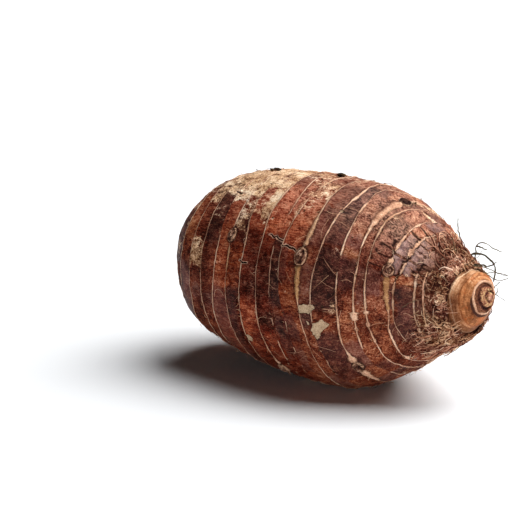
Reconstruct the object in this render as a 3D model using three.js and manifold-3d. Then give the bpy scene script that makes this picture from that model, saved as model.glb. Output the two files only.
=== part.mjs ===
// A taro corm lying on its side, in millimetres, +Z up, with the growing end towards +X.
// Three pieces: the corm itself, the stub of dried leaf bases seated in the end of its neck,
// and the collar of dead leaf-sheath fibres and wiry rootlets wrapped round the neck.
import * as THREE from "three";
import { mergeVertices } from "three/addons/utils/BufferGeometryUtils.js";
import Module from "manifold-3d";

const wasm = await Module();
wasm.setup();

// ---- Driving dimensions ----
// Stations are distances along the axis from the middle of the body. Angles go round the axis:
// 0 is +Y and 90 degrees is up. A wave round the axis is [height, lobes, phase, turn per station].

// Outline of the corm: [station, radius], from the old end to the foot of the neck.
const OUTLINE = [
  [-87, 25], [-84, 31], [-78, 37.5], [-68, 43.2], [-48, 47.6], [-24, 50.8], [0, 51.8],
  [22, 50.2], [42, 42], [58, 30.2], [70, 21.3], [79, 15.6],
];
const BODY_SWELL = [[0.75, 2, 0.6, 0.012], [0.5, 3, 2.1, -0.021], [0.35, 5, 4.0, 0.034]];
const BODY_SPAN = [[-87, -60], [40, 66]]; // the swell grows over the first and fades over the second
const OLD_LOBES = [[1.5, 2, 2.2, 0], [1.0, 3, 0.4, 0], [0.5, 7, 1.3, 0]];
const OLD_SPAN = [-87, -58]; // the lobes of the old end fade out over this

const AXIS_BEND = 2.1; // how far the axis bows sideways and up, 100 mm from the middle
const AXIS_LIFT = 4.6;
const AXIS_HEIGHT = 50.6; // of the axis over the surface: the belly has a flat spot 1.2 mm deep
const COLUMNS = 42; // faces round the axis

// Leaf-scar rings. The first is the rim of the old end's scar, and the last, the edge of the
// groove that the fibres fill, is plain.
const RINGS = [
  -87, -81, -74, -66, -57, -47.5, -37.5, -27, -16, -7, 1.5, 13.5, 22, 32, 41, 47, 53.5, 59,
  64.5, 69, 71.3,
];
const RING_HEIGHT = 0.55;
const RING_WIDTH = 1.1;
const RING_SPAN = [[-86, -80], [70, 71.3]]; // the ridges grow and fade over these
const RING_WANDER = [[0.09, 1], [0.06, 2], [0.035, 4]]; // [share of the room, waves round]
const RING_LEAN = -0.1; // ring planes lean back by this share of the radius at the top,
const RING_SWAY = -0.036; // and by this share at the +Y side
const LEAN_SPAN = [[-87, -60], [50, 78]];
const BAND_STEP = 0.4; // a band of skin stands this much prouder at its old side
const BAND_SHARES = [0, 0.16, 0.5, 0.86]; // rows in a band: ridge, its foot, middle, next foot

// Scar at the old end: a shallow hollow with a rim that runs out of its plane.
const SCAR_DEPTH = 2.6;
const SCAR_ROWS = [[0.32, 0.95], [0.64, 0.7], [0.86, 0.25]]; // [share of radius, share of depth]
const SCAR_DENT = 0.5;
const OLD_RIM = [[1.0, 2, 0.8, 0], [0.5, 5, 2, 0]];

// Groove under the fibres: [station, radius] of its floor's two ends.
const GROOVE = [[72.2, 18.2], [77.4, 14.9]];
// Neck: [station, radius] of its two sheath edges, the rim and the cup in its end.
const NECK = [
  [78.3, 15.9], [79.2, 15.7], [79.9, 15.0], [83.0, 13.5], [83.7, 13.5], [84.3, 12.6],
  [86.8, 10.5], [87.9, 9.6], [88.1, 8.7], [86.4, 8.0],
];
const CUP_FLOOR = 86.0;
const CUP_RADIUS = 7.4; // at the floor

const GAP = 0.35; // between the stub and its cup, and between the collar and the groove
const STUB_FOOT = 0.4; // height of the bevel at the stub's foot
const STUB_WALL = 1.6;
const STUB_DOME = 2.1; // over the wall, at the tip
const STUB_RIDGE = 0.9; // height of the nested edges
const STUB_TURNS = 3; // of the edges, from the wall to the tip
const STUB_LEAN = new THREE.Vector3(0, 1, 2.2); // of the tip from the cup's centre
const STUB_ROWS = 12;
const STUB_COLUMNS = 30;

// Side buds: [index of the ring that carries it, angle in degrees, size].
const BUDS = [
  [11, 155, 1], [16, 145, 0.85], [13, 224, 0.9], [14, 84, 0.85], [8, 233, 0.8],
  [9, 55, 0.9], [12, 8, 0.9], [15, 322, 0.7], [6, 150, 0.9], [4, 345, 0.9],
];
const BUD_LENGTH = 9; // along the ring
const BUD_WIDTH = 6.6;
const BUD_RISE = 1.9;
const BUD_KNOB = 0.5; // length and width of the knob, as a share of the bud's

const MAT_STATIONS = [72.5, 73.8, 75.6, 77.2];
const MAT_RISE = 2.6; // over the floor of its groove
const MAT_EDGE = 1.1; // the same, at its two edges
const MAT_FELT = [[0.5, 7, 0, 1], [0.35, 13, 0, -2]];

const FIBRES = 84;
const FIBRE_RADIUS = 0.45;
const FIBRE_STEPS = 3;
const FIBRE_SIDES = 3;
const FIBRE_ROOT = [73.2, 76.4]; // stations where fibres leave the mat
const FIBRE_START = 0.3; // of a fibre's centre over the outline, inside the mat
const FIBRE_CLEARANCE = 1.6; // the same further out, to pass over the rings
const COMBED = { reach: [-3, -13], hump: [0.3, 2.6], curl: 0.65, flare: 0 };
const TURNED_UP = { share: 0.2, reach: [3, 5.5], hump: [0.3, 2.6], curl: 0.65, flare: 1.6 };
const WOUND = { share: 0.28, station: 75, hump: 1.2, curl: 0.7 };

// Wiry rootlets: a radius, then points of the route as [station, angle in degrees, distance out].
const ROOTLETS = [
  [0.75, [[74, 60, 18], [70.5, 56, 24], [75, 46, 26], [79.5, 35, 24], [81, 23, 18]]],
  [0.5, [[74.5, 52, 18], [72, 54, 25], [72, 57, 29], [75, 55, 31], [79, 49, 30], [83, 44, 30]]],
  [0.6, [[75.5, 74, 17.5], [79.5, 63, 18.5], [83.5, 57, 19], [86.5, 56, 21.5]]],
  [0.45, [[73.5, 58, 18.5], [67.5, 54, 26], [61, 50, 31.5], [56.5, 50, 35], [56, 57, 41]]],
  [0.45, [[76, 80, 17], [80, 75, 17.5], [84, 66, 17.5], [89, 53, 16.5], [93, 44, 17]]],
  [0.45, [[77, 72, 16.5], [83, 70, 16], [90, 68, 12.5], [94, 63, 12.5], [97, 58, 14]]],
  [0.6, [[76.5, 252, 17], [81.5, 250, 16.5], [85, 245, 16], [85, 240, 19], [82.5, 232, 21.5]]],
  [0.55, [[75, 330, 17.5], [78, 322, 23], [83, 312, 25], [86, 300, 22]]],
  [0.5, [[74.5, 296, 18], [70, 290, 25], [64, 284, 30.5], [60, 276, 32.5]]],
  [0.5, [[75, 5, 17.5], [72, 1, 24], [74, -6, 28], [79, -10, 28]]],
  [0.5, [[74.5, 172, 18], [70, 168, 24], [65, 172, 28], [61, 178, 31]]],
];
const ROOTLET_STEPS = 7;
const ROOTLET_SIDES = 4;

// ---- Helpers ----

const radians = THREE.MathUtils.degToRad;
const lerp = THREE.MathUtils.lerp;
const smoothstep = THREE.MathUtils.smoothstep;

/** A repeatable draw from 0 to 1 for a whole number. */
function draw(n) {
  const s = Math.sin(n * 12.9898 + 4.1414) * 43758.5453;
  return s - Math.floor(s);
}

/** The sum of a list of waves at an angle and a station. */
function waves(list, angle, station) {
  return list.reduce((sum, [height, lobes, phase, turn]) =>
    sum + height * Math.sin(lobes * angle + phase + turn * station), 0);
}

/** Rises from 0 to 1 over the first span and falls back to 0 over the second. */
function within([rise, fall], station) {
  return smoothstep(station, ...rise) * (1 - smoothstep(station, ...fall));
}

/** A smooth curve through [station, value] pairs; each slope comes from the two neighbours. */
function curveThrough(points, x) {
  let i = 0;
  while (i < points.length - 2 && x > points[i + 1][0]) i++;
  const slope = (j) => {
    const a = points[Math.max(j - 1, 0)];
    const b = points[Math.min(j + 1, points.length - 1)];
    return (b[1] - a[1]) / (b[0] - a[0]);
  };
  const [x0, y0] = points[i];
  const [x1, y1] = points[i + 1];
  const width = x1 - x0;
  const t = THREE.MathUtils.clamp((x - x0) / width, 0, 1);
  const t2 = t * t;
  const t3 = t2 * t;
  return (2 * t3 - 3 * t2 + 1) * y0 + (t3 - 2 * t2 + t) * width * slope(i)
    + (3 * t2 - 2 * t3) * y1 + (t3 - t2) * width * slope(i + 1);
}

/** The point at a station, an angle round the bowed axis and a distance out from it. */
function place(station, angle, radius) {
  const bow = (station / 100) ** 2;
  const centre = new THREE.Vector3(station, -AXIS_BEND * bow, AXIS_LIFT * bow);
  const along = new THREE.Vector3(1e4, -2 * AXIS_BEND * station, 2 * AXIS_LIFT * station).normalize();
  const up = new THREE.Vector3(-along.z, 0, along.x).normalize();
  const side = new THREE.Vector3().crossVectors(up, along);
  return centre.addScaledVector(side, radius * Math.cos(angle))
    .addScaledVector(up, radius * Math.sin(angle));
}

/** Slow swells of the body, fading out towards the neck, with lobes round the old end. */
function swell(station, angle) {
  return within(BODY_SPAN, station) * waves(BODY_SWELL, angle, station)
    + (1 - smoothstep(station, ...OLD_SPAN)) * waves(OLD_LOBES, angle, station);
}

/** Station of a ring at an angle: its plane leans, and its line wanders. */
function ringStation(index, angle) {
  const station = RINGS[index];
  if (index === 0) return station + waves(OLD_RIM, angle, station);
  if (index === RINGS.length - 1) return station;
  const room = Math.min(station - RINGS[index - 1], RINGS[index + 1] - station);
  const wander = RING_WANDER.reduce((sum, [share, lobes], k) =>
    sum + share * Math.sin(lobes * angle + 2 * Math.PI * draw(index + 40 * k)), 0);
  const lean = RING_LEAN * Math.sin(angle) + RING_SWAY * Math.cos(angle);
  return station + room * wander
    + within(LEAN_SPAN, station) * curveThrough(OUTLINE, station) * lean;
}

/** Skin at a share of the way from a ring to the next: outline, swell, ridges, the band's step. */
function skin(index, share, angle) {
  const from = ringStation(index, angle);
  const to = ringStation(Math.min(index + 1, RINGS.length - 1), angle);
  const station = lerp(from, to, share);
  const ridge = (distance) => Math.exp(-2 * (distance / RING_WIDTH) ** 2);
  const relief = RING_HEIGHT * Math.min(ridge(station - from) + ridge(to - station), 1)
    + BAND_STEP * (0.5 - share);
  const radius = curveThrough(OUTLINE, station) + swell(station, angle)
    + within(RING_SPAN, station) * relief;
  return { station, radius };
}

/** One row of points round the axis, from a function of the angle. */
function rowOf(columns, pointAt) {
  return Array.from({ length: columns }, (_, c) => pointAt((c / columns) * 2 * Math.PI));
}

/** Points and triangle indices as a geometry. */
function geometryFrom(points, faces) {
  const flat = points.flatMap((p) => [p.x, p.y, p.z]);
  return new THREE.BufferGeometry()
    .setAttribute("position", new THREE.Float32BufferAttribute(flat, 3)).setIndex(faces);
}

/** Closes rows of points into a solid: rows run round the axis, with a pole at each end. */
function closedRows(rows, firstPole, lastPole) {
  const count = rows[0].length;
  const points = [firstPole, ...rows.flat(), lastPole];
  const at = (row, column) => 1 + row * count + (column % count);
  const end = rows.length - 1;
  const faces = [];
  for (let c = 0; c < count; c++) {
    faces.push(0, at(0, c + 1), at(0, c), points.length - 1, at(end, c), at(end, c + 1));
    for (let r = 0; r < end; r++) {
      faces.push(at(r, c), at(r, c + 1), at(r + 1, c + 1), at(r, c), at(r + 1, c + 1), at(r + 1, c));
    }
  }
  return geometryFrom(points, faces);
}

/** Closes rows of points into a ring: the last row joins the first. */
function closedRing(rows) {
  const count = rows[0].length;
  const at = (row, column) => (row % rows.length) * count + (column % count);
  const faces = [];
  for (let r = 0; r < rows.length; r++) {
    for (let c = 0; c < count; c++) {
      faces.push(at(r, c), at(r + 1, c + 1), at(r, c + 1), at(r, c), at(r + 1, c), at(r + 1, c + 1));
    }
  }
  return geometryFrom(rows.flat(), faces);
}

/** A closed geometry as a manifold-3d solid. */
function solidOf(geometry) {
  const bare = geometry.clone();
  bare.deleteAttribute("normal");
  bare.deleteAttribute("uv");
  const merged = mergeVertices(bare, 1e-4);
  return new wasm.Manifold(new wasm.Mesh({
    numProp: 3,
    vertProperties: new Float32Array(merged.attributes.position.array),
    triVerts: new Uint32Array(merged.index.array),
  }));
}

/** A manifold-3d solid as a three.js geometry. */
function geometryOf(solid) {
  const mesh = solid.getMesh();
  return new THREE.BufferGeometry()
    .setAttribute("position", new THREE.BufferAttribute(mesh.vertProperties, 3))
    .setIndex(new THREE.BufferAttribute(mesh.triVerts, 1));
}

// ---- The corm ----

/** The skin from the old end's scar to the cup in the neck, one closed body. */
function cormBody() {
  const rows = SCAR_ROWS.map(([share, depth]) => rowOf(COLUMNS, (a) => {
    const dent = SCAR_DEPTH * depth + SCAR_DENT * Math.sin(3 * a + 16 * share);
    const station = RINGS[0] + share * waves(OLD_RIM, a, RINGS[0]) + dent;
    return place(station, a, share * (OUTLINE[0][1] + swell(RINGS[0], a)));
  }));
  for (let i = 0; i < RINGS.length - 1; i++) {
    const shares = i === RINGS.length - 2 ? [0, 0.5] : BAND_SHARES;
    for (const share of shares) {
      rows.push(rowOf(COLUMNS, (a) => {
        const { station, radius } = skin(i, share, a);
        return place(station, a, radius);
      }));
    }
  }
  const grooveEdge = [RINGS.at(-1), curveThrough(OUTLINE, RINGS.at(-1))];
  for (const [station, radius] of [grooveEdge, ...GROOVE, ...NECK, [CUP_FLOOR, CUP_RADIUS]]) {
    rows.push(rowOf(COLUMNS, (a) => place(station, a, radius)));
  }
  return closedRows(rows, place(RINGS[0] + SCAR_DEPTH, 0, 0), place(CUP_FLOOR, 0, 0));
}

/** An eye: a low oval mound on a ring with a smaller knob on it. */
function bud([ring, degrees, size]) {
  const angle = radians(degrees);
  const { station, radius } = skin(ring, 0, angle);
  const seat = place(station, angle, radius);
  const outward = seat.clone().sub(place(station, angle, 0)).normalize();
  const along = place(station + 1, angle, radius).sub(place(station - 1, angle, radius)).normalize();
  const round = new THREE.Vector3().crossVectors(outward, along).normalize();
  const turn = new THREE.Matrix4().makeBasis(along, round, outward);
  const mound = (share, rise, lift, sides, rings) => {
    const ball = new THREE.SphereGeometry(1, sides, rings);
    ball.scale((share * BUD_WIDTH * size) / 2, (share * BUD_LENGTH * size) / 2, rise * size);
    ball.applyMatrix4(turn);
    const centre = seat.clone().addScaledVector(outward, lift * size);
    return solidOf(ball.translate(centre.x, centre.y, centre.z));
  };
  return mound(1, BUD_RISE, -0.2, 10, 6)
    .add(mound(BUD_KNOB, 0.8 * BUD_RISE, 0.45 * BUD_RISE, 7, 5));
}

/** The whole corm: the skin with its buds joined on and its belly flat where it lies. */
function corm() {
  const below = new THREE.BoxGeometry(400, 400, 100).translate(0, 0, -50 - AXIS_HEIGHT);
  const budded = BUDS.reduce((solid, one) => solid.add(bud(one)), solidOf(cormBody()));
  return geometryOf(budded.subtract(solidOf(below)));
}

// ---- The stub of leaf bases ----

/** Rolled leaf bases, cut short: a low dome whose nested edges wind up to an off-centre tip. */
function leafBases() {
  const outer = CUP_RADIUS - GAP;
  const foot = CUP_FLOOR + GAP;
  const wall = CUP_FLOOR + STUB_WALL;
  const rows = [
    rowOf(STUB_COLUMNS, (a) => place(foot, a, outer - STUB_FOOT)),
    rowOf(STUB_COLUMNS, (a) => place(foot + STUB_FOOT, a, outer)),
  ];
  for (let i = 0; i < STUB_ROWS; i++) {
    const inward = i / STUB_ROWS;
    const dome = STUB_DOME * (1 - (1 - inward) ** 2);
    rows.push(rowOf(STUB_COLUMNS, (a) => {
      const turns = (1 - inward) * STUB_TURNS + a / (2 * Math.PI);
      const edge = 2 * Math.abs((turns % 1) - 0.5);
      const ridge = STUB_RIDGE * edge * Math.min(3 * inward, 1);
      return place(wall + dome + ridge, a, outer * (1 - inward)).addScaledVector(STUB_LEAN, inward);
    }));
  }
  const tip = place(wall + STUB_DOME + STUB_RIDGE / 2, 0, 0).add(STUB_LEAN);
  return closedRows(rows, place(foot, 0, 0), tip);
}

// ---- The collar of fibres ----

/** The felted mat that fills the groove below the neck. */
function mat() {
  const floor = (s) => curveThrough(GROOVE, s) + GAP + 0.1;
  const last = MAT_STATIONS.length - 1;
  const inner = [MAT_STATIONS[0], MAT_STATIONS[last]].map((s) =>
    rowOf(COLUMNS, (a) => place(s, a, floor(s))));
  const outer = MAT_STATIONS.map((s, i) => rowOf(COLUMNS, (a) => {
    const rise = i === 0 || i === last ? MAT_EDGE : MAT_RISE + waves(MAT_FELT, a, s);
    return place(s, a, floor(s) + rise);
  }));
  return closedRing([...inner, ...outer.reverse()]);
}

/** A tapering strand with a few sides along a list of points. */
function strand(points, radius, sides) {
  const ahead = new THREE.Vector3();
  const rows = points.slice(0, -1).map((p, i) => {
    ahead.subVectors(points[i + 1], points[Math.max(i - 1, 0)]).normalize();
    const across = new THREE.Vector3(0.3, -0.5, 0.8).cross(ahead).normalize();
    const other = new THREE.Vector3().crossVectors(ahead, across);
    const thick = radius * (1 - (0.6 * i) / (points.length - 1));
    return rowOf(sides, (a) => p.clone()
      .addScaledVector(across, thick * Math.cos(a)).addScaledVector(other, thick * Math.sin(a)));
  });
  return closedRows(rows, points[0].clone(), points.at(-1).clone());
}

/** One curly fibre: it combs back over the skin, winds round in the mat or turns up at the neck. */
function fibre(n) {
  const start = 2 * Math.PI * ((n + 0.9 * draw(n)) / FIBRES);
  const root = lerp(...FIBRE_ROOT, draw(n + 2100));
  const kind = draw(n + 500);
  const wound = kind > 1 - WOUND.share;
  const { reach, hump, curl, flare } = kind < TURNED_UP.share ? TURNED_UP : COMBED;
  const side = 2 * draw(n + 1700) - 1;
  const travel = wound ? WOUND.station - root : lerp(...reach, draw(n + 900) ** 1.3);
  const height = wound ? WOUND.hump : lerp(...hump, draw(n + 1300) ** 2);
  const turn = wound ? WOUND.curl * Math.sign(side) : curl * side;
  const points = [];
  for (let i = 0; i <= FIBRE_STEPS; i++) {
    const t = i / FIBRE_STEPS;
    const station = root + travel * t * (1 - 0.25 * t * Math.abs(turn));
    const angle = start + turn * (wound ? t : t * t);
    const lift = lerp(FIBRE_START, FIBRE_CLEARANCE, Math.min(3 * t, 1)) + height * Math.sin(2.6 * t)
      + (wound ? 0 : flare * t);
    points.push(place(station, angle, curveThrough(OUTLINE, station) + swell(station, angle) + lift));
  }
  return solidOf(strand(points, FIBRE_RADIUS, FIBRE_SIDES));
}

/** A wiry rootlet: a smooth curve through the points of its route. */
function rootlet([radius, route]) {
  const knots = route.map(([station, degrees, out]) => place(station, radians(degrees), out));
  const points = new THREE.CatmullRomCurve3(knots).getPoints(ROOTLET_STEPS);
  return solidOf(strand(points, radius, ROOTLET_SIDES));
}

/** The whole collar, joined into one body. */
function crownFibres() {
  const fibres = Array.from({ length: FIBRES }, (_, n) => fibre(n));
  const strands = [...fibres, ...ROOTLETS.map(rootlet)];
  return geometryOf(strands.reduce((solid, one) => solid.add(one), solidOf(mat())));
}

// ---- Assembly ----

function named(name, geometry, color, roughness) {
  const material = new THREE.MeshStandardMaterial({ color, roughness, metalness: 0 });
  const mesh = new THREE.Mesh(geometry, material);
  mesh.name = name;
  return mesh;
}

const taro = new THREE.Group();
taro.add(
  named("corm", corm(), 0x5b2e1c, 0.7),
  named("leaf_bases", leafBases(), 0x8a6038, 0.8),
  named("crown_fibres", crownFibres(), 0x6b4a30, 0.9),
);
const box = new THREE.Box3().setFromObject(taro);
taro.position.set(-(box.min.x + box.max.x) / 2, -(box.min.y + box.max.y) / 2, -box.min.z);

export default taro;
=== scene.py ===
# %% [markdown]
# # A taro root
#
# A taro root is a corm: the swollen foot of a stem. Each leaf that it carried left a ring when it
# died, so the skin is a stack of bands with a thin raised line between them, and every line may hold
# an eye, which is a sleeping side bud. The last leaves are still there as a short cone at the growing
# end, wrapped in a collar of dead fibres. This file dresses a plain solid of that root, which has the
# right size and place, with a skin, a collar and a stub worth a close look.
#
# Everything in the scene is measured in metres, but a root is easier to think about in millimetres, so
# the shapes below are worked out in millimetres and scaled once, when they become meshes.

import bpy
import numpy as np
from mathutils import Matrix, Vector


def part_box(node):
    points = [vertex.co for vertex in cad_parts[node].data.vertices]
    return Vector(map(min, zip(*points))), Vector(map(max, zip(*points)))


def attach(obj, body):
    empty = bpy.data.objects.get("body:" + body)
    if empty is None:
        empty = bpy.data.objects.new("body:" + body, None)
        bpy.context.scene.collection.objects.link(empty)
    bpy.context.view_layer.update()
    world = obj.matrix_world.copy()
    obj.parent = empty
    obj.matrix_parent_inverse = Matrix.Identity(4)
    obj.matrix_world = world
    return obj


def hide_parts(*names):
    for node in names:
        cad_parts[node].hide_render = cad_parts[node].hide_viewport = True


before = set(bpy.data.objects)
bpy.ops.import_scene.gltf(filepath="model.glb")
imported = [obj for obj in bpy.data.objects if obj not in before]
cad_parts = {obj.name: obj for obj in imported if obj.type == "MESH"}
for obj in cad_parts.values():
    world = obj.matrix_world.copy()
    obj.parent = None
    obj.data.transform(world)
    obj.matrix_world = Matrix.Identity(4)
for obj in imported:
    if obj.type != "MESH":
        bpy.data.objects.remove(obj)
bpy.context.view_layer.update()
MM = 0.001

# %% [markdown]
# ## The form
#
# The corm is a surface of two parameters: a **station** along its axis and an **angle** round it. A
# list of stations and radii gives the outline, and a smooth curve through them gives the radius in
# between. Its slope at each point comes from the two neighbours, which keeps the barrel free of kinks
# with no handles to adjust. The axis is slightly bowed, as in a root that lay in the ground.
#
# The rings are planes across the axis that lean a little. A wave with one, two and four lobes makes
# each line wander, and where a line strays further, a short list of angles and distances says how far.
# Tables give angles in degrees: 0 is the far side, 90 is the top and 180 is the near side.

# %% Outline, axis and rings
OUTLINE = [
    (-87, 25), (-84, 31), (-78, 37.5), (-68, 43.2), (-48, 47.6), (-24, 50.8), (0, 51.8), (22, 50.2),
    (42, 42), (58, 30.2), (70, 21.3), (79, 15.6),
]
AXIS_HEIGHT = 50.6
AXIS_REACH = 100.0  # from the middle of the axis, where it has strayed by:
AXIS_BEND, AXIS_LIFT = 2.1, 4.6  # towards the near side, and up
# Waves as height, lobes, phase and turn for each mm along the axis.
BODY_SWELL = [(0.75, 2, 0.6, 0.012), (0.5, 3, 2.1, -0.021), (0.35, 5, 4, 0.034)]
OLD_LOBES = [(1.5, 2, 2.2, 0), (1, 3, 0.4, 0), (0.5, 7, 1.3, 0)]
OLD_RIM = [(1, 2, 0.8, 0), (0.5, 5, 2, 0)]
RINGS = np.array([
    -87, -81, -74, -66, -57, -47.5, -37.5, -27, -16, -7, 1.5, 13.5, 22, 32, 41, 47, 53.5, 59, 64.5,
    69, 71.3,
])
RING_WANDER = [(0.09, 1), (0.06, 2), (0.035, 4)]  # share of the room between rings, lobes
RING_LEAN, RING_SWAY = -0.1, -0.036  # mm along the axis for each mm up, and towards the far side
DRIFT_BLUR = (-5, -2, 0, 2, 5)  # degrees over which a stray line is averaged, so that it has no corners
RING_DRIFT = {  # ring: mm by which its line strays from the plain path at some angles
    7: [(100, 0), (120, -3.5), (135, -3), (152, 0)],
    8: [(120, 0), (135, -0.6), (150, 0)],
    9: [(96, 0), (108, 2), (120, 3.6), (132, 3.6), (146, 0.8), (165, 1.1), (190, 0.8), (205, 1.5), (225, 0)],
    10: [(112, 0), (130, -1), (140, -2.2), (150, -2.8), (160, -2.2), (173, -0.5), (190, 3.2), (212, 3.4),
         (228, 0)],
    11: [(108, 0), (122, 0.8), (140, 0.6), (150, -1), (160, -2), (178, -1.1), (192, 0.5), (210, 0.7),
         (235, 0.6), (250, 0)],
    12: [(70, 0), (82, 1.5), (95, 3.2), (107, 3.8), (116, 2.8), (126, 1.4), (140, 0), (150, -0.4),
         (160, -1.6), (172, -2.6), (190, -3), (205, -3.4), (222, -3.6), (240, 0)],
    13: [(70, 0), (90, -2.3), (102, -1.2), (112, 0.6), (125, 1.6), (145, 1.6), (165, 2.1), (185, 1.9),
         (198, 0.1), (212, 0)],
    14: [(138, 0), (150, 0.9), (164, 0.4), (180, -0.5), (190, -1.1), (202, -1.6), (214, -2), (235, 0)],
    15: [(88, 0), (104, -1.4), (114, -2.3), (170, -2.3), (190, -2.9), (222, -2.9), (234, -1.5), (255, 0)],
    16: [(188, 0), (200, -1.4), (222, -1.5), (240, -0.9), (255, 0)],
    17: [(132, 0), (140, -0.3), (147, -0.6), (152, -2.4), (185, -2.8), (200, -2.5), (212, -2), (230, 0)],
    18: [(130, 0), (145, -0.8), (158, 0)],
    19: [(130, 0), (140, -1.2), (152, -1.6), (168, -1), (185, 0)],
}
print("rings on the skin:", len(RINGS), "axis", AXIS_HEIGHT, "mm over the table")

# %% [markdown]
# A few small functions work out everything on the root. Two soft switches, `smooth` and `window`,
# say where a thing is. One curve runs through points. Unevenness is made in two ways: `waves` are
# regular and slow, and `uneven` is a lattice of random numbers with soft blends between them. Noise
# from a library would do as well, but this one closes without a seam round the axis, and the same
# seed always gives the same root.

# %% Curves, waves and noise


def smooth(value, low, high):
    """0 below low, 1 above high, and an S-shaped rise between them."""
    t = np.clip((np.asarray(value, float) - low) / (high - low), 0, 1)
    return t * t * (3 - 2 * t)


def window(value, low, high, edge):
    """1 between low and high, falling to 0 over edge outside them."""
    return smooth(value, low - edge, low) * (1 - smooth(value, high, high + edge))


def bell(value, middle, width):
    """1 at the middle, falling evenly on both sides of it."""
    return np.exp(-(((value - middle) / width) ** 2))


def even_angles(count):
    """Angles at even distances all the way round."""
    return np.arange(count) / count * 2 * np.pi


def curve_through(points, x):
    """Smooth curve through (x, y) points; the slope at each is that of the line joining its neighbours."""
    px, py = np.array(points, float).T
    order = np.arange(len(px))
    before, after = np.maximum(order - 1, 0), np.minimum(order + 1, len(px) - 1)
    slope = (py[after] - py[before]) / (px[after] - px[before])
    i = np.clip(np.searchsorted(px, x, side="left") - 1, 0, len(px) - 2)
    width = px[i + 1] - px[i]
    t = np.clip((x - px[i]) / width, 0, 1)
    start = (2 * t**3 - 3 * t**2 + 1) * py[i] + (t**3 - 2 * t**2 + t) * width * slope[i]
    return start + (3 * t**2 - 2 * t**3) * py[i + 1] + (t**3 - t**2) * width * slope[i + 1]


def waves(shapes, angle, station=0.0):
    """Sum of waves round the axis: height times the sine of lobes x angle + phase + turn x station."""
    return sum(h * np.sin(n * angle + phase + turn * station) for h, n, phase, turn in shapes)


def swell(station, angle):
    """Slow swells of the body, which fade towards the neck, and the lobes of the old end."""
    body = smooth(station, -87, -60) * (1 - smooth(station, 40, 66))
    old = 1 - smooth(station, -87, -58)
    return body * waves(BODY_SWELL, angle, station) + old * waves(OLD_LOBES, angle)


def draw(n):
    """A repeatable number from 0 to 1 for each whole number: the tail of a large sine."""
    s = np.sin(np.asarray(n) * 12.9898 + 4.1414) * 43758.5453
    return s - np.floor(s)


def ring_station(index, angle):
    """Where ring number index crosses each angle: its station, a wandering line, a leaning plane."""
    station = RINGS[index]
    if index == 0:
        return station + waves(OLD_RIM, angle)
    if index == len(RINGS) - 1:
        return station + 0 * angle
    room = min(station - RINGS[index - 1], RINGS[index + 1] - station)
    wander = sum(share * np.sin(lobes * angle + 2 * np.pi * draw(index + 40 * k))
                 for k, (share, lobes) in enumerate(RING_WANDER))
    lean = RING_LEAN * np.sin(angle) + RING_SWAY * np.cos(angle)
    fade = smooth(station, -87, -60) * (1 - smooth(station, 50, 78))
    stray = 0 * lean
    if index in RING_DRIFT:
        at, by = np.array(RING_DRIFT[index], float).T
        around = np.degrees(angle) % 360
        stray = sum(np.interp(around + nudge, at, by, period=360) for nudge in DRIFT_BLUR) / len(DRIFT_BLUR)
    return station + room * wander + fade * curve_through(OUTLINE, station) * lean + stray


def place(station, angle, radius):
    """Points round the bowed axis: centre + radius x (side x cosine + up x sine)."""
    station, angle, radius = np.broadcast_arrays(station, angle, radius)
    bow = (station / AXIS_REACH) ** 2
    centre = np.stack([station, -AXIS_BEND * bow, AXIS_LIFT * bow], -1)
    steepness = station / AXIS_REACH**2
    along = np.stack([1 + 0 * bow, -2 * AXIS_BEND * steepness, 2 * AXIS_LIFT * steepness], -1)
    along /= np.linalg.norm(along, axis=-1, keepdims=True)
    up = np.stack([-along[..., 2], 0 * bow, along[..., 0]], -1)
    up /= np.linalg.norm(up, axis=-1, keepdims=True)
    side = np.cross(up, along)
    return centre + radius[..., None] * (side * np.cos(angle)[..., None] + up * np.sin(angle)[..., None])


def uneven(angle, along, lobes, step, seed):
    """Smooth noise from -1 to 1: random values on a lattice that closes round the axis, lobes round
    and one row every step mm, joined by S-shaped blends."""
    rows = 64
    table = np.random.default_rng(seed).uniform(-1, 1, (rows, lobes))
    u, v = angle / (2 * np.pi) * lobes, along / step
    iu, iv = np.floor(u).astype(int), np.floor(v).astype(int)
    fu, fv = smooth(u - iu, 0, 1), smooth(v - iv, 0, 1)
    near = table[iv % rows, iu % lobes] * (1 - fu) + table[iv % rows, (iu + 1) % lobes] * fu
    far = table[(iv + 1) % rows, iu % lobes] * (1 - fu) + table[(iv + 1) % rows, (iu + 1) % lobes] * fu
    return near * (1 - fv) + far * fv


ends_at = place(np.array([OUTLINE[0][0], OUTLINE[-1][0]]), 0.0, 0.0)
print("axis from", np.round(ends_at[0], 1), "to", np.round(ends_at[1], 1), "mm")

# %% [markdown]
# ## From numbers to meshes
#
# A whole array of points goes into a mesh in one call with `foreach_set`, which is hundreds of times
# faster than adding vertices one by one. Three builders cover every shape here: `closed_rows` closes a
# grid of rows that run round an axis, `closed_ring` joins the last row to the first, and `strands`
# makes many tapering tubes at once. Each returns a part, and `new_piece` joins parts into one object.
# The extra numbers that a part carries on its vertices, called attributes, tell the materials later
# where on the root they are.

# %% Grids and tubes


def grid_quads(rows, columns, turns_over=False):
    """Corner numbers of a grid's quads. Rows close round, and the last row may join the first."""
    r, c = np.meshgrid(np.arange(rows if turns_over else rows - 1), np.arange(columns), indexing="ij")
    r, c = r.ravel(), c.ravel()
    above, beside = (r + 1) % rows, (c + 1) % columns
    here, there = r * columns, above * columns
    return np.stack([here + c, here + beside, there + beside, there + c], -1)


def pole_fans(rows, columns):
    """Triangles from the first row to a point numbered 0 and from the last row to the last point."""
    c = np.arange(columns)
    d = (c + 1) % columns
    last = 1 + (rows - 1) * columns
    return np.concatenate([np.stack([0 * c, 1 + d, 1 + c], -1),
                           np.stack([0 * c + last + columns, last + c, last + d], -1)])


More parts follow.
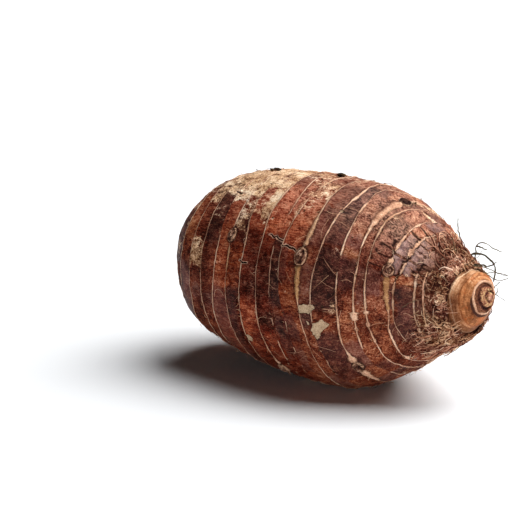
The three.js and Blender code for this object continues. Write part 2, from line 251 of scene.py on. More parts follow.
def closed_rows(grid, poles, fields):
    """A closed part from rows of points round an axis and a pole at each end."""
    rows, columns, _ = grid.shape
    quads, fans = 1 + grid_quads(rows, columns), pole_fans(rows, columns)
    points = np.concatenate([[poles[0]], grid.reshape(-1, 3), [poles[1]]])
    closed = {
        field: np.concatenate([[values[0].mean()], values.ravel(), [values[-1].mean()]])
        for field, values in fields.items()
    }
    return points, quads, fans, closed


def closed_ring(grid, fields):
    """A closed part from rows of points round an axis, with the last row joined to the first."""
    rows, columns, _ = grid.shape
    flat = {field: values.ravel() for field, values in fields.items()}
    return grid.reshape(-1, 3), grid_quads(rows, columns, True), np.zeros((0, 3), int), flat


def strands(lines, radii, sides, fields):
    """Many closed tubes. lines is (strand, point, xyz) and radii (strand, point): each point gets a ring
    of the given sides, square to the line, and each tube has a pole at both ends."""
    count, steps, _ = lines.shape
    ahead = np.gradient(lines, axis=1)
    ahead /= np.linalg.norm(ahead, axis=-1, keepdims=True)
    across = np.cross(ahead, np.array([0.3, -0.5, 0.81]))  # a direction that hardly any tube follows
    across /= np.linalg.norm(across, axis=-1, keepdims=True)
    other = np.cross(ahead, across)
    turn = even_angles(sides)
    ring = np.cos(turn)[:, None] * across[:, :, None] + np.sin(turn)[:, None] * other[:, :, None]
    tubes = (lines[:, :, None] + radii[:, :, None, None] * ring).reshape(count, -1, 3)
    first = lines[:, :1] - ahead[:, :1] * radii[:, :1, None]
    last = lines[:, -1:] + ahead[:, -1:] * radii[:, -1:, None]
    points = np.concatenate([first, tubes, last], 1)
    shift = (np.arange(count) * points.shape[1])[:, None, None]
    quads = (1 + grid_quads(steps, sides) + shift).reshape(-1, 4)
    fans = (pole_fans(steps, sides) + shift).reshape(-1, 3)
    spread = {}
    for field, values in fields.items():
        values = np.broadcast_to(values, (count, steps))
        rings = np.repeat(values, sides, axis=1)
        spread[field] = np.concatenate([values[:, :1], rings, values[:, -1:]], 1).ravel()
    return points.reshape(-1, 3), quads, fans, spread


print("3 rows by 4 columns:", len(grid_quads(3, 4)), "quads,", len(pole_fans(3, 4)), "triangles")

# %% [markdown]
# Parts that belong together become one object, so that the root stays a handful of pieces. Here, and
# nowhere else, points move to the root's place in the frame and turn from millimetres into metres.

# %% From parts to a piece
body_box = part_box("corm")
origin = np.array([0.0, 0.0, AXIS_HEIGHT])  # the root's own origin in mm; x and y are set with the skin


def new_object(name, data):
    """An object for a mesh, a light or a camera, put into the scene."""
    thing = bpy.data.objects.new(name, data)
    bpy.context.scene.collection.objects.link(thing)
    return thing


def new_piece(name, material, parts, stands_for=()):
    """One object from parts given in mm. It rides on the root and may stand for plain solids."""
    points = np.concatenate([part[0] for part in parts])
    shifts = np.cumsum([0] + [len(part[0]) for part in parts])
    quads = np.concatenate([part[1] + shift for part, shift in zip(parts, shifts)])
    fans = np.concatenate([part[2] + shift for part, shift in zip(parts, shifts)])
    sizes = np.concatenate([np.full(len(quads), 4), np.full(len(fans), 3)])
    mesh = bpy.data.meshes.new(name)
    mesh.vertices.add(len(points))
    mesh.vertices.foreach_set("co", ((points + origin) * MM).astype(np.float32).ravel())
    mesh.loops.add(int(sizes.sum()))
    mesh.loops.foreach_set("vertex_index", np.concatenate([quads.ravel(), fans.ravel()]).astype(np.int32))
    mesh.polygons.add(len(sizes))
    mesh.polygons.foreach_set("loop_start", (np.cumsum(sizes) - sizes).astype(np.int32))
    mesh.polygons.foreach_set("use_smooth", np.ones(len(sizes), bool))
    mesh.update(calc_edges=True)
    for field in parts[0][3]:
        values = np.concatenate([part[3][field] for part in parts]).astype(np.float32)
        mesh.attributes.new(field, "FLOAT", "POINT").data.foreach_set("value", values)
    mesh.materials.append(material)
    piece = new_object(name, mesh)
    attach(piece, "root")
    if stands_for:
        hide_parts(*stands_for)
    print(f"{name}: {len(points)} points, {int((sizes - 2).sum())} triangles")
    return piece


print("plain root from", *(np.round(np.array(corner) / MM, 1) for corner in body_box), "mm")

# %% [markdown]
# ## The rings and what is special about them
#
# A ring is not the same all the way round. It is mostly a thin raised line of pale cork, but beside an
# eye it opens into a wide tan band, and here and there it is worn away. The tables below are the
# root's own map: which ring, from which angle to which, and how wide. Chance alone would do for any
# root, but this one should be recognised again by its marks, so they are listed one by one.

# %% Eyes and ring lines
EYES = [  # ring, angle, size, how hollow it is, how dark it is
    (11, 154, 1.12, 0.2, 0.25), (16, 148, 0.72, 0.9, 0.6), (13, 224, 0.78, 0.6, 0.5),
    (14, 84, 0.85, 0.8, 1), (8, 231, 0.9, 0, -0.2), (9, 55, 0.9, 0.2, 0.3), (12, 8, 0.9, 0.4, 0.6),
    (15, 322, 0.7, 0.5, 0.6), (6, 150, 0.9, 0.2, 0.3), (4, 345, 0.9, 0.2, 0.4),
    (18, 212.5, 0.42, 0.6, -0.3),
]
WIDE = [  # ring, from angle, to angle, extra width in mm at each, how ochre it is
    (11, 128, 148, 0.8, 3, 0.5), (11, 158, 178, 3, 1.1, 0.9), (11, 100, 128, 0.6, 0.5, 0.1),
    (16, 152, 182, 1.6, 0.8, 0.85), (16, 138, 144, 1.5, 2.1, 0.2), (16, 113, 131, 0.5, 0.8, 0),
    (13, 210, 220, 0.8, 2.9, 0.1), (13, 228, 246, 3.2, 1.3, 0.05), (13, 186, 204, 0.3, 0.2, 0),
    (14, 89, 122, 3.6, 1.5, 0.08), (14, 122, 140, 1.4, 0.4, 0.05), (14, 60, 80, 0.4, 1.4, 0.2),
    (14, 182, 188, 2.6, 2, 0), (14, 193, 195.5, 1.6, 1.2, 0), (15, 181, 184, 1.4, 1.4, 0),
    (15, 190, 193.5, 1.3, 1.2, 0), (13, 109, 118, 0.9, 0.5, 0), (12, 96, 112, 0.4, 0.7, 0.1),
    (18, 208, 216, 1.8, 2.6, 0.3), (8, 219, 226, 1, 2, 0), (9, 62, 80, 1.6, 0.4, 0.5),
    (12, 15, 34, 1.8, 0.4, 0.5), (15, 290, 317, 0.4, 1.5, 0.3), (6, 157, 172, 1.6, 0.5, 0.6),
    (4, 352, 368, 1.5, 0.4, 0.3), (10, 96, 112, 0.7, 0.3, 0.2), (16, 234, 238, 1.3, 1.3, 0),
    (18, 150, 214, 0.05, 0.1, 0.1), (17, 154, 212, 0.05, 0.05, 0.1), (19, 150, 208, 0.2, 0.2, 0.1),
    (17, 92, 119, 0.4, 0.6, 0), (17, 120.5, 130, 1.1, 0.9, 0), (17, 135, 149, 0.8, 0.2, 0),
    (18, 84, 104, 0.4, 0.4, 0.1), (12, 96, 150, 0.5, 0.4, 0), (8, 104, 150, 0.3, 0.3, 0),
    (9, 104, 133, 0.3, 0.3, 0), (10, 118, 152, 0.4, 0.4, 0), (15, 96, 130, 0.4, 0.5, 0.1),
]
FAINT = [  # ring, from angle, to angle: where its line is worn away
    (7, 100, 114), (9, 134, 150), (9, 181, 190), (9, 197, 202), (10, 112, 117), (10, 172, 189),
    (10, 199, 205), (10, 213, 240), (9, 222, 240), (12, 191, 204), (12, 208, 214), (12, 224, 245),
    (13, 150, 157), (14, 212, 240), (17, 149, 153), (17, 130.5, 134), (16, 131.5, 134.5), (18, 118, 139),
    (19, 112, 132), (17, 216, 240), (5, 130, 150), (14, 20, 48), (11, 270, 300), (8, 10, 30), (6, 300, 330),
    (12, 330, 350),
]
print(len(EYES), "eyes,", len(WIDE), "wider and", len(FAINT), "fainter lengths of ring")

# %% [markdown]
# Three kinds of damage cross the bands. Small patches have peeled and show a chalky layer. Cracks
# opened when the root dried. Thin pale threads are what is left of fibres that lay on the skin.

# %% Patches, cracks and threads
PEELED = [  # corners of each patch as (station, angle)
    [(13.9, 180.2), (15.9, 179.7), (18.2, 179.1), (19.5, 179.8), (21.2, 178.9), (23.7, 179.8),
     (23.5, 181.4), (21.9, 182.3), (21.4, 183.8), (19.8, 185.2), (18.4, 183.9), (16.2, 184.8),
     (14.3, 184.3), (14.6, 182.2)],
    [(21.6, 189.3), (23.6, 189.4), (25.6, 187.7), (27.3, 186.7), (28, 188.7), (30.4, 190.1), (29.1, 191.9),
     (27.5, 192.6), (26.7, 194.4), (25.4, 195.4), (25.1, 197.4), (23.4, 199.4), (22.2, 198.9),
     (21.1, 196.6), (20.7, 193.9), (21.9, 191.4)],
    [(-24.2, 206.6), (-21.6, 206), (-19.8, 208.4), (-20.6, 210.6), (-23, 210.8)],
    [(20, 120.2), (21.8, 120.6), (22.2, 122.4), (20.8, 123.2), (19.4, 122)],
    [(18.7, 188.9), (20.5, 189.2), (20.3, 190.6), (19.1, 190.9)],
    [(-45, 18), (-39, 15.5), (-35, 19), (-34.5, 24), (-41, 25), (-46, 22)],
    [(6, 306), (11, 304), (15.5, 309), (12, 314), (7.5, 316), (3.5, 311)],
    [(47, 346), (52, 344), (54.5, 350), (51, 355), (46, 352)],
    [(-65, 246), (-61, 245), (-59.5, 249), (-62, 253), (-66, 251)],
]
CRACKS = [  # (station, angle) points along each; it gapes in the middle and closes at its ends
    [(-15.4, 145.6), (-12.6, 145), (-10.4, 146.4), (-8.2, 145.6), (-6.8, 146.8), (-3.6, 147.4),
     (-1.6, 147)],
    [(-4.4, 149.8), (-1.6, 150.4), (0.6, 149.6), (2.6, 150.6), (5.2, 150.4), (7.2, 151.8), (9.8, 152)],
    [(-30, 163), (-26, 164.4), (-22, 163.6)], [(-20, 18), (-14, 20), (-8, 19.4)],
    [(25, 348), (30, 351), (35, 350)], [(-55, 118), (-50, 120.5), (-46, 119.6)],
    [(5, 58), (9, 61), (13, 60.2)], [(40, 38), (44, 40.5), (48, 40)],
    [(-45, 298), (-39, 300.5), (-34, 299.6)], [(15, 283), (19, 286), (22, 285)],
    [(-12, 328), (-7, 331), (-3, 330)],
]
THREADS = [  # thin pale lines left by old fibres, as (station, angle) points
    [(22.5, 128.6), (26, 128.8), (28.5, 129.8), (32, 129.4)], [(27.2, 180.6), (33.2, 180.9)],
    [(24.5, 152.2), (27, 155), (30.5, 158.6), (33, 160.4)], [(27.6, 182.2), (33, 182.4)],
    [(8.5, 215.5), (12.4, 212.5), (14.8, 213.2), (17, 216.2)], [(11.6, 215.6), (13.6, 218.6)],
    [(18.6, 206.4), (19.8, 210), (21.4, 213.6)], [(13, 221.5), (14.8, 225), (16, 228.5)],
    [(39, 104), (42, 103), (45, 104.6), (48, 104)],
    [(36.5, 110), (38.5, 107.5), (42.5, 106.8), (46, 108.2)], [(22.4, 118), (27, 117), (31.6, 118.4)],
    [(30, 122.6), (32, 124), (35.5, 124.2)], [(0.4, 130.6), (3, 131.4), (5.4, 131)],
    [(-1.6, 166), (1, 168.4), (3.6, 171.2)], [(4.6, 163.6), (7, 166.6), (9.4, 169)],
    [(25.6, 165), (29, 167), (32.4, 168.2)], [(35, 163), (38, 161.6), (40.4, 162.8)],
    [(44.2, 182), (46, 180.6), (47, 184)], [(48, 192.6), (50.4, 191.4), (53.6, 192)],
    [(-20, 168), (-16, 170)], [(-9, 158), (-6, 158.6), (-3, 158)], [(-8, 173), (-5, 172), (-2, 174)],
]
print(len(PEELED), "peeled patches,", len(CRACKS), "cracks,", len(THREADS), "threads")

# %% [markdown]
# A finish rarely covers the whole root. It keeps to part of a band, because each band is the foot of
# one leaf and weathers as one. So every row below names a band, its first and last angle and how
# strong the finish is there. Two more numbers, where they follow, are the first and last share of the
# band's width; without them the finish covers all of it.

# %% Finishes in part of a band
PAPER = [  # smooth, dark and purple
    (8, 84, 110, 0.75), (9, 147, 184, 0.9), (7, 140, 184, 0.4), (8, 148, 200, 0.4), (11, 99, 119, 0.8),
    (11, 121, 147, 0.95), (11, 158, 179, 0.7), (11, 184, 193, 0.8), (12, 92, 117, 0.9), (12, 118, 142, 1),
    (12, 147, 181, 1), (12, 197, 233, 1), (13, 134, 142, 0.75), (13, 149, 167, 0.95), (13, 203, 227, 0.9),
    (14, 150, 176, 0.7, 0.2, 1), (16, 62, 88, 0.9), (16, 160, 182, 0.8), (16, 194, 213, 0.8),
    (17, 160, 190, 1, 0.1, 1), (18, 170, 187, 0.9), (15, 150, 170, 0.8, 0, 0.7),
    (10, 150, 168, 0.7, 0, 0.4), (10, 186, 202, 0.8, 0, 0.6), (9, 190, 216, 0.8, 0.2, 1),
    (10, 205, 226, 0.7, 0, 0.5), (14, 226, 238, 0.7), (15, 60, 76, 0.7, 0.3, 1), (17, 188, 214, 0.85),
    (10, 88, 96, 0.6), (13, 86, 96, 0.8, 0, 0.4), (14, 66, 84, 0.6, 0.4, 1), (11, 225, 245, 0.7),
]
SCALES = [  # papery scales that stand up; their grey lilac is a painted sheen, lightest where they lift
    (16, 109.5, 116.5, 0.8, 0.12, 0.8), (16, 117.5, 131.5, 1, 0.1, 0.86),
    (16, 134.5, 150, 0.95, 0.14, 0.78), (17, 104.5, 111, 0.55, 0.05, 0.8), (17, 112.5, 119, 0.7, 0.1, 0.9),
    (17, 120.5, 131, 1, 0.16, 0.9), (17, 134, 147.5, 0.95, 0.1, 0.75), (18, 108, 116, 0.45, 0, 0.9),
    (18, 118, 128, 0.5), (15, 120, 130, 0.34, 0.1, 0.8), (15, 131, 138, 0.36, 0.3, 1),
    (15, 139.5, 147, 0.34, 0.1, 0.9), (16, 72, 88, 0.5, 0.3, 1), (17, 95, 103, 0.4, 0.1, 0.9),
    (16, 20, 34, 0.55, 0.1, 0.8), (17, 30, 44, 0.5, 0.2, 0.9), (16, 300, 312, 0.55, 0.1, 0.9),
]
RUST = [  # orange bark
    (13, 85.5, 91, 0.9, 0.1, 0.8), (13, 107, 117, 0.8), (13, 118, 133, 0.55), (13, 143, 149, 0.9),
    (10, 119, 150, 0.45, 0.1, 1), (10, 171, 185, 0.9), (9, 177, 189, 0.95, 0.3, 1), (7, 188, 226, 0.4),
    (8, 203, 224, 0.4), (10, 199, 224, 0.45, 0.4, 1), (14, 183, 197, 0.3), (14, 198, 236, 0.2),
    (15, 186, 198, 0.7, 0.2, 1), (16, 183, 191, 0.8), (17, 145, 156, 0.3), (18, 139, 169, 0.4),
    (17, 72, 92, 0.8), (9, 118, 144, 0.4, 0.5, 1), (11, 146, 158, 0.7, 0, 0.6), (10, 106, 113, 1, 0.2, 0.7),
    (14, 112, 140, 0.5, 0.3, 1), (12, 182, 196, 0.4), (13, 168, 200, 0.15), (15, 205, 240, 0.2),
    (15, 84, 99, 0.5, 0.2, 1), (12, 142, 147, 0.5), (8, 112, 145, 0.35), (7, 128, 146, 0.5),
]
SCUFFS = [  # bark rubbed off down to ochre cork
    (3, 60, 128, 0.8), (4, 60, 122, 0.9), (5, 60, 126, 1), (6, 60, 122, 1), (7, 60, 113, 0.9),
    (7, 102, 136, 0.95, 0.45, 1), (6, 122, 146, 0.6), (8, 60, 98, 0.6), (9, 60, 106, 0.6),
    (9, 106, 134, 0.6, 0.55, 1), (10, 99, 117, 0.7), (10, 117, 127, 0.6, 0, 0.4),
    (12, 142.5, 148, 0.25, 0.2, 0.8), (14, 62, 124, 0.65, 0, 0.4), (17, 72, 94, 0.6, 0.2, 1),
    (10, 78, 92, 0.5, 0, 0.5), (7, 118, 136, 0.45, 0, 0.4), (13, 60, 84, 0.4, 0.5, 1),
    (12, 176, 183, 0.6, 0.7, 1), (15, 96, 108, 0.6, 0, 0.3), (2, 70, 120, 0.6), (1, 80, 140, 0.5),
    (8, 132, 146, 0.5, 0, 0.3), (11, 60, 96, 0.5, 0, 0.3),
]
DARK = [  # nearly black; in the narrow rows between standing scales and at the ends of their bands it is a painted shade
    (8, 147, 196, 1), (9, 146, 184, 1), (7, 146, 184, 0.85), (10, 150, 172, 0.45),
    (11, 180, 194, 0.6, 0.2, 1), (17, 163, 190, 0.8), (9, 184, 200, 0.8, 0, 0.7), (6, 150, 215, 0.5),
    (12, 148, 181, 0.55), (13, 150, 168, 0.5), (13, 168, 182, 0.5, 0, 0.4), (16, 131.6, 134.3, 1),
    (16, 117, 150, 0.9, 0.84, 1), (17, 131.3, 133.8, 1), (17, 119.2, 120.4, 1),
    (17, 134, 148, 0.9, 0.78, 1), (18, 130, 138, 0.9), (17, 190, 226, 0.75), (16, 191, 213, 0.4),
    (15, 100, 118, 0.5, 0.2, 1), (16, 213, 232, 0.6), (16, 76, 84, 0.5, 0.5, 1), (18, 186, 206, 0.6),
]
print("rows of paper, scales, rust, scuffs and dark:", *map(len, (PAPER, SCALES, RUST, SCUFFS, DARK)))

# %% [markdown]
# ## The skin surface
#
# The skin could be a smooth body with a bump map, but the rings catch light along their edges and show
# on the outline, so they are real relief. Rows of vertices are packed closer near each ring. On top
# of the outline come, from large to small: soft dents, the step and the raised line at each ring,
# lengthwise wrinkles, cracks with lifted lips, and blocky plates where the skin bursts near the crown.

# %% Skin rows
COLUMNS = 430
ROW_STEP = 0.86  # mm between rows, about
EVEN, CROWDED = 0.55, 0.45  # shares of even spacing and of crowding towards the rings


def band_rows():
    """Band number and share of the way through it for every row: rows crowd towards both rings."""
    bands, shares = [], []
    for i, width in enumerate(np.diff(RINGS)):
        count = max(4, round(width / ROW_STEP))
        t = np.arange(count) / count
        bands.append(np.full(count, i))
        shares.append(EVEN * t + CROWDED * (0.5 - 0.5 * np.cos(np.pi * t)))
    return np.concatenate(bands), np.concatenate(shares)


angles = even_angles(COLUMNS)
band, share = band_rows()
ring_lines = np.array([ring_station(i, angles) for i in range(len(RINGS))])
ring_from, ring_to = ring_lines[band], ring_lines[band + 1]
station = ring_from + (ring_to - ring_from) * share[:, None]
angle = np.broadcast_to(angles, station.shape)
degrees = np.degrees(angle)
gap_from, gap_to = station - ring_from, ring_to - station
nearest = np.where(gap_from <= gap_to, band[:, None], band[:, None] + 1)
gap = np.minimum(gap_from, gap_to)


def on_skin(lobes, step, seed):
    """Unevenness at every point of the skin grid."""
    return uneven(angle, station, lobes, step, seed)


print("skin grid:", station.shape)

# %% [markdown]
# Each special place becomes a smooth field over the grid: a number that is large inside it and small
# outside. The same field can lift the surface here and tint it later, so form and colour agree. First
# come the fields that follow the rings and bands. Places that no table lists get theirs by chance.

# %% Fields along the rings and bands
FAINT_DEPTH = 0.6  # mm taken off a ring line's half width where it is worn away
BAND_END_RAGGED, BAND_EDGE = 0.14, 0.08  # shares of a band's width


def turn_apart(a, b):
    """Smallest signed difference of two angles in degrees."""
    return (a - b + 180) % 360 - 180


def flat(where, at):
    """Stations and angles in degrees as mm on the unrolled skin near one place."""
    return station - where, np.radians(turn_apart(degrees, at)) * curve_through(OUTLINE, where)


def unrolled(path):
    """The skin and a path's points, both as mm on the skin unrolled near the path's middle."""
    where, at = np.mean(path, 0)
    scale = np.radians(1) * curve_through(OUTLINE, where)
    return *flat(where, at), (np.array(path) - [where, at]) * [1, scale]


def ring_width_field():
    """Half width of the pale line at every vertex, and how ochre it is."""
    width = np.zeros_like(station)
    ochre = np.zeros_like(station)
    for i in range(len(RINGS)):
        row = 10.0 * i
        line = 0.34 + 0.12 * uneven(angles, row, 34, 1, 11) + 0.13 * uneven(angles, row + 5, 110, 1, 12)
        line *= 0.5 + 0.5 * smooth(uneven(angles, row, 13, 1, 13), -0.7, 0)
        width += np.where(nearest == i, np.maximum(line, 0.08), 0)
    ragged = degrees + 2 * on_skin(70, 4, 14)
    for i, start, end in FAINT:
        width -= np.where(nearest == i, FAINT_DEPTH * window(ragged, start, end, 2), 0)
    width = np.maximum(width, 0.0)
    for i, start, end, at_start, at_end, tan in WIDE:
        middle, half = (start + end) / 2, (end - start) / 2
        t = turn_apart(degrees, middle) / half
        body = 1 - smooth(np.abs(t), 0.8, 1.1)
        extra = (at_start + (at_end - at_start) * np.clip(t / 2 + 0.5, 0, 1)) * body * 0.5
        width += np.where(nearest == i, extra * (1 + 0.25 * uneven(angle, 3.0 * i, 150, 1, 15)), 0)
        ochre = np.where(nearest == i, np.maximum(ochre, tan * body), ochre)
    return width, ochre


def finish_field(table, ragged, seed, edge=0.9):
    """Largest strength of a table's finishes at each vertex; uneven ends fade over edge degrees."""
    total = np.zeros_like(station)
    wander = on_skin(90, 1.6, seed) + on_skin(36, 4, seed + 1)
    along = degrees + ragged * wander
    across = share[:, None] + BAND_END_RAGGED * on_skin(110, 2, seed + 2)
    for i, start, end, strength, *shares in table:
        low, high = shares or (0, 1)
        across_in = window(across, low if low > 0 else -1, high if high < 1 else 2, BAND_EDGE)
        inside = window(along, start + edge / 3, end - edge / 3, edge) * across_in
        total = np.maximum(total, inside * (band[:, None] == i) * strength)
    return total


def chance_field(lobes, low, high, seed):
    """Chance patches for the sides that the tables leave out: lengths of a band, with soft ends."""
    around = angle + 0.05 * on_skin(60, 2.5, seed)
    patch = 0.5 + 0.5 * uneven(around, 5.0 * band[:, None], lobes, 1, seed)
    listed = window(degrees, 80, 240, 4) * smooth(station, -30, -22)
    return smooth(patch, low, high) * (1 - listed)


ring_width, ring_ochre = ring_width_field()
paper = np.maximum(finish_field(PAPER, 1.2, 21, 10), 0.85 * chance_field(15, 0.45, 0.75, 61))
scales = finish_field(SCALES, 0.35, 24)
rust = np.maximum(finish_field(RUST, 1.6, 27, 9), 0.75 * chance_field(19, 0.6, 0.9, 67))
scuffs = np.maximum(finish_field(SCUFFS, 1.8, 34, 7), 0.8 * chance_field(13, 0.7, 0.95, 73))
dark = finish_field(DARK, 1.0, 37, 9)
print("share of skin that is paper", round(float((paper > 0.5).mean()), 2),
      "scuffed", round(float((scuffs > 0.4).mean()), 2))

# %% [markdown]
# Patches, cracks, threads and eyes are too small for the rows of the grid to draw their edges. What
# the grid can carry well is the distance from an edge, because it changes evenly: a value halfway
# between two vertices is still right. So these fields are distances, and the paint finds the edge.
#
# Near the crown the skin has burst into blocky plates. Each band is cut at even angles that are then
# shifted by chance, and every plate between two cuts gets a tone of its own.

# %% Fields of distance
FAR_OFF = 99.0  # mm, more than any distance that matters
LINE_REACH = 1.6  # mm from a crack or thread within which it can be drawn
EYE_SEAT = (3.3, 4.4)  # mm, half the seat of an eye of size 1, along the root and round it
PLATES_ROUND = 34


def beside_line(x, y, ax, ay, bx, by):
    """Share of the way from a to b of the nearest point on that line, and the distance from it."""
    t = np.clip(((x - ax) * (bx - ax) + (y - ay) * (by - ay)) / ((bx - ax) ** 2 + (by - ay) ** 2), 0, 1)
    return t, np.hypot(x - ax - t * (bx - ax), y - ay - t * (by - ay))


def peeled_field():
    """Distance in mm inside the edge of the nearest peeled patch, negative outside: the shortest one
    to a side of the patch, with its sign from the even-odd rule."""
    total = np.full_like(station, -3.0)
    ragged = 0.2 * on_skin(215, 0.9, 31) + 0.25 * on_skin(110, 2, 32)
    for corners in PEELED:
        x, y, points = unrolled(corners)
        px, py = points.T
        closest, inside = np.full_like(x, FAR_OFF), np.zeros(x.shape, bool)
        for ax, ay, bx, by in zip(px, py, np.roll(px, -1), np.roll(py, -1)):
            _, away = beside_line(x, y, ax, ay, bx, by)
            closest = np.minimum(closest, away)
            crosses = (ay > y) != (by > y)
            slope = (bx - ax) / (by - ay if by != ay else 1e-9)
            inside ^= crosses & (x < ax + (y - ay) * slope)
        total = np.maximum(total, np.where(inside, closest, -closest) + ragged)
    return total


def line_fields(paths, gape):
    """Signed distance in mm from the nearest of the paths, and how far the vertex is in its reach, from
    0 at LINE_REACH away to 1 on it. The sign says on which side a vertex is, so the distance changes
    evenly across the line. The reach shrinks towards the line's ends when gape is 1."""
    signed, reach, closest = np.zeros_like(station), np.zeros_like(station), np.full_like(station, FAR_OFF)
    for path in paths:
        x, y, points = unrolled(path)
        length = np.linalg.norm(np.diff(points, axis=0), axis=1)
        run = 0.0
        for (ax, ay), (bx, by), long in zip(points[:-1], points[1:], length):
            t, away = beside_line(x, y, ax, ay, bx, by)
            side = np.sign((bx - ax) * (y - ay) - (by - ay) * (x - ax))
            through = (run + t * long) / length.sum()
            opening = np.clip(1 - gape * (2 * through - 1) ** 2 + 0.05, 0, 1)
            nearer = away < closest
            closest = np.where(nearer, away, closest)
            signed = np.where(nearer, side * away, signed)
            reach = np.where(nearer, np.clip(1 - away / LINE_REACH, 0, 1) * opening, reach)
            run += long
    return signed, reach


def eye_field():
    """Distance from the nearest eye's middle over its half size: 1 at its rim."""
    total = np.full_like(station, 4.0)
    for ring, at, size, _, _ in EYES:
        x, y = flat(float(ring_station(ring, np.radians(at))), at)
        total = np.minimum(total, np.hypot(x / (EYE_SEAT[0] * size), y / (EYE_SEAT[1] * size)))
    return total


def plate_fields():
    """Height of a plate's face, from 0 at the splits between plates to 1, and a tone for each plate."""
    wobble = 0.035 * on_skin(60, 3.0, 41)
    u = (angle + wobble) / (2 * np.pi) * PLATES_ROUND + 3.7 * draw(band + 11)[:, None]
    cell = np.floor(u)
    number = cell % PLATES_ROUND
    inner = np.abs(u - cell - 0.5 - 0.22 * (draw(number + 17 * band[:, None]) - 0.5))
    face = 1 - smooth(inner, 0.34, 0.47)
    rows = np.clip(gap / 0.9, 0, 1)
    tone = draw(number + 29 * band[:, None] + 5)
    return face * smooth(rows, 0.1, 1), tone


peeled = peeled_field()
cracks, crack_reach = line_fields(CRACKS, 1.0)
threads, thread_reach = line_fields(THREADS, 0.4)
eye_reach = eye_field()
plate, plate_tone = plate_fields()
burst = smooth(station, 44, 58) * (0.2 + 0.8 * window(degrees, 60, 150, 14)) * (1 - 0.7 * (scales > 0.1))
print("share of skin that has peeled", round(float((peeled > 0).mean()), 4),
      "that is burst", round(float((burst > 0.5).mean()), 3))

# %% [markdown]
# The relief adds the fields up. The ring line is a rounded ridge, `exp(-2 (distance / width)²)`, whose
# height changes along it. Bands overlap like loose sleeves, so each starts a little proud and ends a
# little low. Peeled patches sit a hair lower than the skin that came off them.

# %% Skin relief
SKIN_INSET = 0.5  # mm from the outline down to the skin's middle height, so that ridges stay near it


def skin_relief():
    """Height over the outline in mm, from the largest forms to the smallest."""
    ends = smooth(station, -86, -80) * (1 - smooth(station, 69.5, 71.3))
    dents = 0.55 * on_skin(9, 22, 51) + 0.32 * on_skin(24, 9, 52)
    line = np.exp(-2 * (gap / (ring_width + 0.28)) ** 2)
    line_height = 0.26 + 0.26 * uneven(angle, nearest * 7.0, 80, 1, 53)
    line_height += 0.25 * np.clip(ring_width, 0, 1.2)
    step = 0.42 * (0.5 - share[:, None])
    foot = -0.2 * bell(gap_from, 1.1, 0.6) * on_skin(30, 3, 54)
    wrinkles = 0.1 * on_skin(215, 5, 55) + 0.08 * on_skin(120, 3.5, 56)
    crossed = smooth(on_skin(12, 12, 58), -0.1, 0.5)
    cross = 0.08 * on_skin(40, 1.7, 57) * crossed
    rough = (1 - 0.8 * np.clip(paper, 0, 1)) * 0.1 * on_skin(215, 1.0, 59)
    width = 0.1 + 0.5 * crack_reach
    lips = 0.3 * bell(np.abs(cracks), 0.9, 0.45) - 1.0 * bell(cracks, 0, width)
    lips = lips * smooth(crack_reach, 0.1, 0.4)
    burst_plates = burst * (0.9 * plate - 0.5 + 0.3 * (plate_tone - 0.5))
    stand_up = 1.0 * smooth(scales, 0.1, 0.5) * (0.55 + 0.45 * share[:, None])
    papery = 0.12 * smooth(paper, 0.3, 0.6)
    peel = -0.3 * smooth(peeled, -0.15, 0.25) + 0.18 * bell(peeled, -0.35, 0.3)
    hollow = -1.5 * (1 - smooth(eye_reach, 0.55, 1.0)) + 0.25 * bell(eye_reach, 1.15, 0.16)
    fine = wrinkles * (1 - 0.6 * smooth(peeled, 0, 0.2)) + cross + rough
    sleeves = dents - SKIN_INSET + line_height * line + step + foot
    marks = lips + burst_plates + stand_up + papery + peel + hollow
    return ends * (sleeves + marks) + (0.3 + 0.7 * ends) * fine


relief = skin_relief()
radius = curve_through(OUTLINE, station) + swell(station, angle) + relief
print("relief from", round(float(relief.min()), 2), "to", round(float(relief.max()), 2), "mm")

# %% [markdown]
# The old end is where the corm broke from its parent. It is a shallow dish with a ragged rim, so its
# rows shrink from the rim to a point. The last rows at the other end dive under the fibre collar. The
# belly is pressed flat where the root lies: no vertex may be lower than the table.

# %% Old end, belly and the finished skin
SCAR_DEPTH, SCAR_DENT = 2.6, 0.5  # mm
SCAR_INSET = 0.1  # mm from the end of the plain root's box to the scar's rim
OLD_ROWS, OLD_RADIUS = 26, OUTLINE[0][1]
TABLE_GAP = 0.05  # mm between the table and the root
UNDER_COLLAR = [(71.9, 19.6), (72.6, 18), (74, 16.6), (75.4, 12)]  # station, radius


def old_end():
    """Rows of the scar, from its middle to its rim, and how proud each point stands: a dish, 1 - share³
    deep, with crumpled rings and pits."""
    inward = (np.arange(OLD_ROWS) + 0.6)[:, None] / (OLD_ROWS + 0.6)
    turn = np.broadcast_to(angles, (OLD_ROWS, COLUMNS))
    out = OLD_RADIUS * inward
    dish = SCAR_DEPTH * (1 - inward**3) + SCAR_DENT * np.sin(3 * turn + 16 * inward) * inward
    crumple = 0.6 * uneven(turn, out, 14, 4.0, 61) * smooth(inward, 0.05, 0.3)
    crumple += 0.45 * uneven(turn, out, 60, 1.5, 62) * smooth(inward, 0.1, 0.5)
    rings = 0.4 * np.sin(26 * inward + 2.6 * uneven(turn, out, 7, 9, 63))
    pits = -1.3 * smooth(uneven(turn, out, 34, 2.4, 64), 0.4, 0.75) * smooth(inward, 0.2, 0.4)
    fade = 1 - smooth(inward, 0.9, 1.0)
    proud = crumple + rings + pits
    where = RINGS[0] + inward * waves(OLD_RIM, turn) + dish - proud * fade
    return place(where, turn, inward * (OLD_RADIUS + swell(RINGS[0], turn))), proud


def rest_on_table(points):
    """Presses what is below the table up to just over it."""
    return np.concatenate([points[..., :2], np.maximum(points[..., 2:], -AXIS_HEIGHT + TABLE_GAP)], -1)


